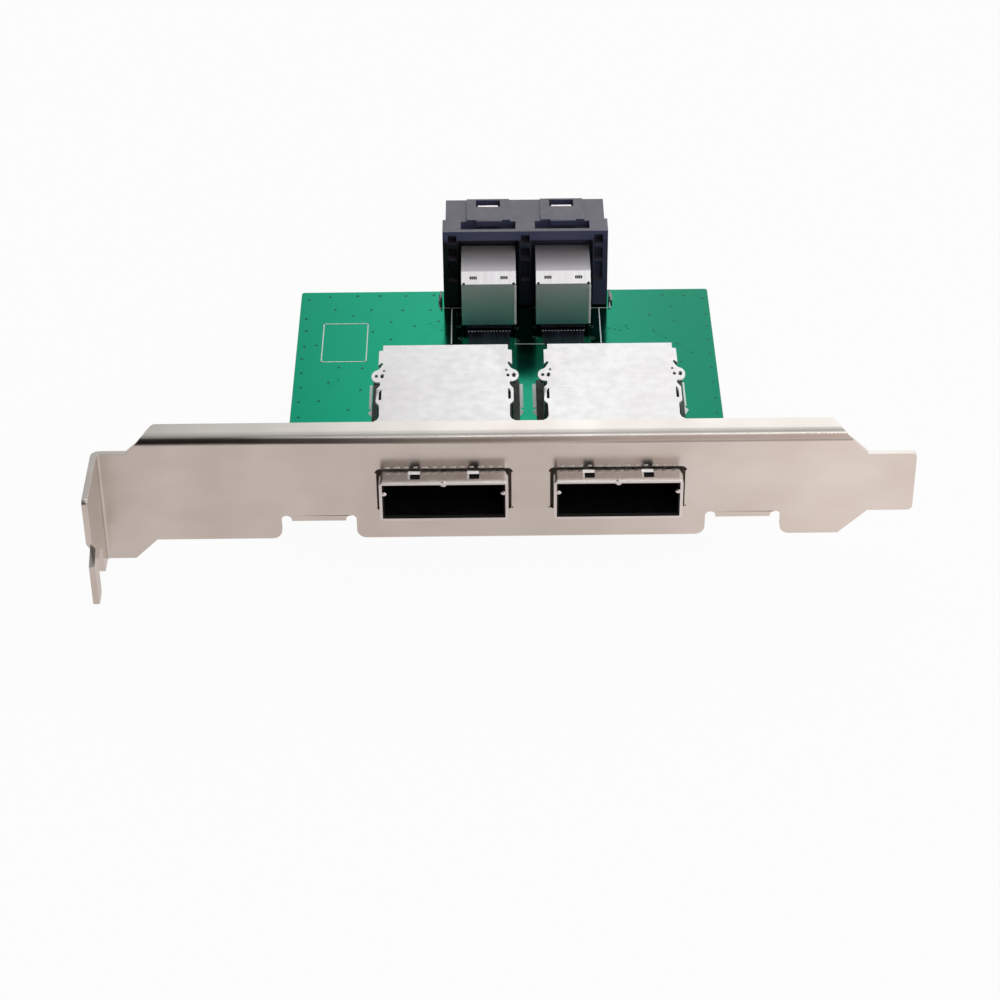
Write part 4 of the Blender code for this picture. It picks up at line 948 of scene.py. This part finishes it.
# Nine dark streaked strips on the board in front of the feet.
DARK_STRIP_COUNT = 9
DARK_STRIP_PITCH = 0.74
dark_strip_finish = new_material("dark_streaked_strip", (0.010, 0.011, 0.018), 0.3)
dark_strip_streaks = grain(dark_strip_finish, 700.0, (1.0, 0.1, 1.0))
vary_colour(dark_strip_finish, dark_strip_streaks, (0.006, 0.007, 0.010), (0.022, 0.026, 0.045))
dark_strip = block("dark_strip", (-0.34, 42.3, -0.01), (0.34, 46.25, 0.02), 0.01, 1)
dark_strips = joined("wafer_dark_strips", copies_at(dark_strip, in_a_row(DARK_STRIP_COUNT, DARK_STRIP_PITCH)))
on_both_sides(dark_strips, "wafer_dark_strips", WAFER_PLACES, dark_strip_finish, "board_laminate")


# Wafer shields: thin bright sheet folded over each wafer block, with two louvred slots in the
# bevelled corner and a fold along one side of the front. The sheet is painted greener low down, a
# painted reflection of the board it stands over, and the bevel and the fold are painted paler as
# highlights.
# The low colour is a painted reflection of the green board below, fading out upwards.
SHEET_LOW_REFLECTED_BOARD = (0.16, 0.44, 0.40)
SHEET_HIGH = (0.80, 0.78, 0.80)
bright_sheet = new_material("bright_rolled_sheet", SHEET_HIGH, 0.4, 0.62)
vary_roughness(bright_sheet, grain(bright_sheet, 500.0, (4.0, 0.4, 0.4)), 0.36, 0.44)
bumps(bright_sheet, grain(bright_sheet, 2500.0, (3.0, 0.1, 0.1)), 0.08, 0.01 * MM)
board_reflection_fade = ramp(bright_sheet, place_parts(bright_sheet), "Z", 1.3 * MM, 8.8 * MM, 0.0, 1.0)
paint(bright_sheet, colour_mix(bright_sheet, board_reflection_fade, "Result", SHEET_LOW_REFLECTED_BOARD, SHEET_HIGH))
# A paler copy of the sheet for the bevelled corner, a painted highlight.
bevel_sheet_highlight = new_material("bevel_sheet_painted_highlight", (0.97, 0.96, 0.98), 0.25, 1.0)
vary_roughness(bevel_sheet_highlight, grain(bevel_sheet_highlight, 500.0, (4.0, 0.4, 0.4)), 0.22, 0.28)
# A pale matte finish for the fold at the front's side, a painted highlight.
fold_edge_highlight = new_material("fold_edge_painted_highlight", (0.90, 0.90, 0.92), 0.6, 0.3)
vary_roughness(fold_edge_highlight, grain(fold_edge_highlight, 1500.0), 0.5, 0.7)

SLOT_PLACES = (-2.45, 2.45)
NICK_PLACES = (-3.98, 3.98)
BAR_OFFSETS = (-0.3, 0.0, 0.3)
BEVEL_MIDDLE = (47.21, 9.68)
BEVEL_SLOPE = math.radians(45.0)
cover = middle_copy("shield_cover", "left_wafer_shield", WAFER_OFFSET)
for place in SLOT_PLACES:
    slot = block("slot", (place - 0.57, -0.24, -0.5), (place + 0.57, 0.24, 0.5))
    only(slot)
    slot.rotation_euler = (BEVEL_SLOPE, 0.0, 0.0)
    slot.location = (0.0, BEVEL_MIDDLE[0] * MM, BEVEL_MIDDLE[1] * MM)
    bpy.ops.object.transform_apply(location=True, rotation=True, scale=True)
    combine(cover, slot, "DIFFERENCE")
for place in NICK_PLACES:
    combine(cover, block("nick", (place - 0.2, 46.0, 8.7), (place + 0.2, 46.95, 9.12)), "DIFFERENCE")
roll_edges(cover, 0.05 * MM, 2, 25.0)
two_finishes(cover, bright_sheet, bevel_sheet_highlight, lambda normal: normal.y < -0.6 and normal.z > 0.6)
louvre = block("louvre", (-0.06, 47.08, 9.42), (0.06, 47.4, 9.75), 0.03, 1)
louvres = copies_at(louvre, [place + bar for place in SLOT_PLACES for bar in BAR_OFFSETS])
cover = joined("shield_cover", [cover] + louvres)
on_both_sides(cover, "shield_cover", WAFER_PLACES, None, "shield_steel", "wafer_shield")
fold = block("shield_fold", (4.0, 46.34, 1.35), (4.4, 46.6, 8.7), 0.12, 3)
on_both_sides(fold, "shield_fold", WAFER_PLACES, fold_edge_highlight, "shield_steel")


# Hold-downs and solder: small tinned angles hold the housing's sides, and round solder joints
# stand on the underside where pegs and pins come through.
# A dark grey tin for the hold-down angles.
dark_grey_tin = new_material("dark_grey_tin", (0.19, 0.20, 0.20), 0.4, 1.0)
vary_colour(dark_grey_tin, grain(dark_grey_tin, 800.0), (0.15, 0.16, 0.16), (0.24, 0.25, 0.25))
vary_roughness(dark_grey_tin, grain(dark_grey_tin, 1200.0), 0.28, 0.42)
for side in ("left", "right"):
    angle = merged_copy(f"hold_down_{side}", f"inner_hold_down_{side}")
    roll_edges(angle, 0.05 * MM, 1)
    dress(angle, dark_grey_tin, "tinned_steel", f"inner_hold_down_{side}")

solder = new_material("solder", (0.58, 0.59, 0.60), 0.22, 1.0)
vary_roughness(solder, grain(solder, 1500.0), 0.16, 0.34)
BIG_JOINT = 0.6
SMALL_JOINT = 0.3
JOINT_HEIGHT = -1.55
PEG_PLACES = ((11.17, 4.5), (11.17, 10.5), (11.17, 16.5), (11.17, 22.5), (9.9, 28.5))
PIN_ROWS = (48.2, 49.7, 51.2, 52.7, 54.2)
PIN_COUNT = 9
PIN_PITCH = 0.8
joint_places = []
for _, x in PORT_PLACES:
    for sign in (-1, 1):
        joint_places += [(x + sign * across, y, BIG_JOINT) for across, y in PEG_PLACES]
for _, x in WAFER_PLACES:
    for y in PIN_ROWS:
        joint_places += [(x + across, y, SMALL_JOINT) for across in in_a_row(PIN_COUNT, PIN_PITCH)]
bpy.ops.mesh.primitive_uv_sphere_add(segments=10, ring_count=6, radius=MM, location=(0.0, 0.0, 0.0))
bead = bpy.context.object
beads = []
for x, y, radius in joint_places:
    only(bead)
    bpy.ops.object.duplicate(linked=False)
    twin = bpy.context.object
    twin.scale = (radius, radius, 0.8 * radius)
    twin.location = Vector((x, y, JOINT_HEIGHT)) * MM
    beads.append(twin)
bpy.data.objects.remove(bead, do_unlink=True)
only(*beads)
bpy.ops.object.transform_apply(location=True, rotation=True, scale=True)
dress(joined("board_solder_joints", beads), solder, "tinned_steel")
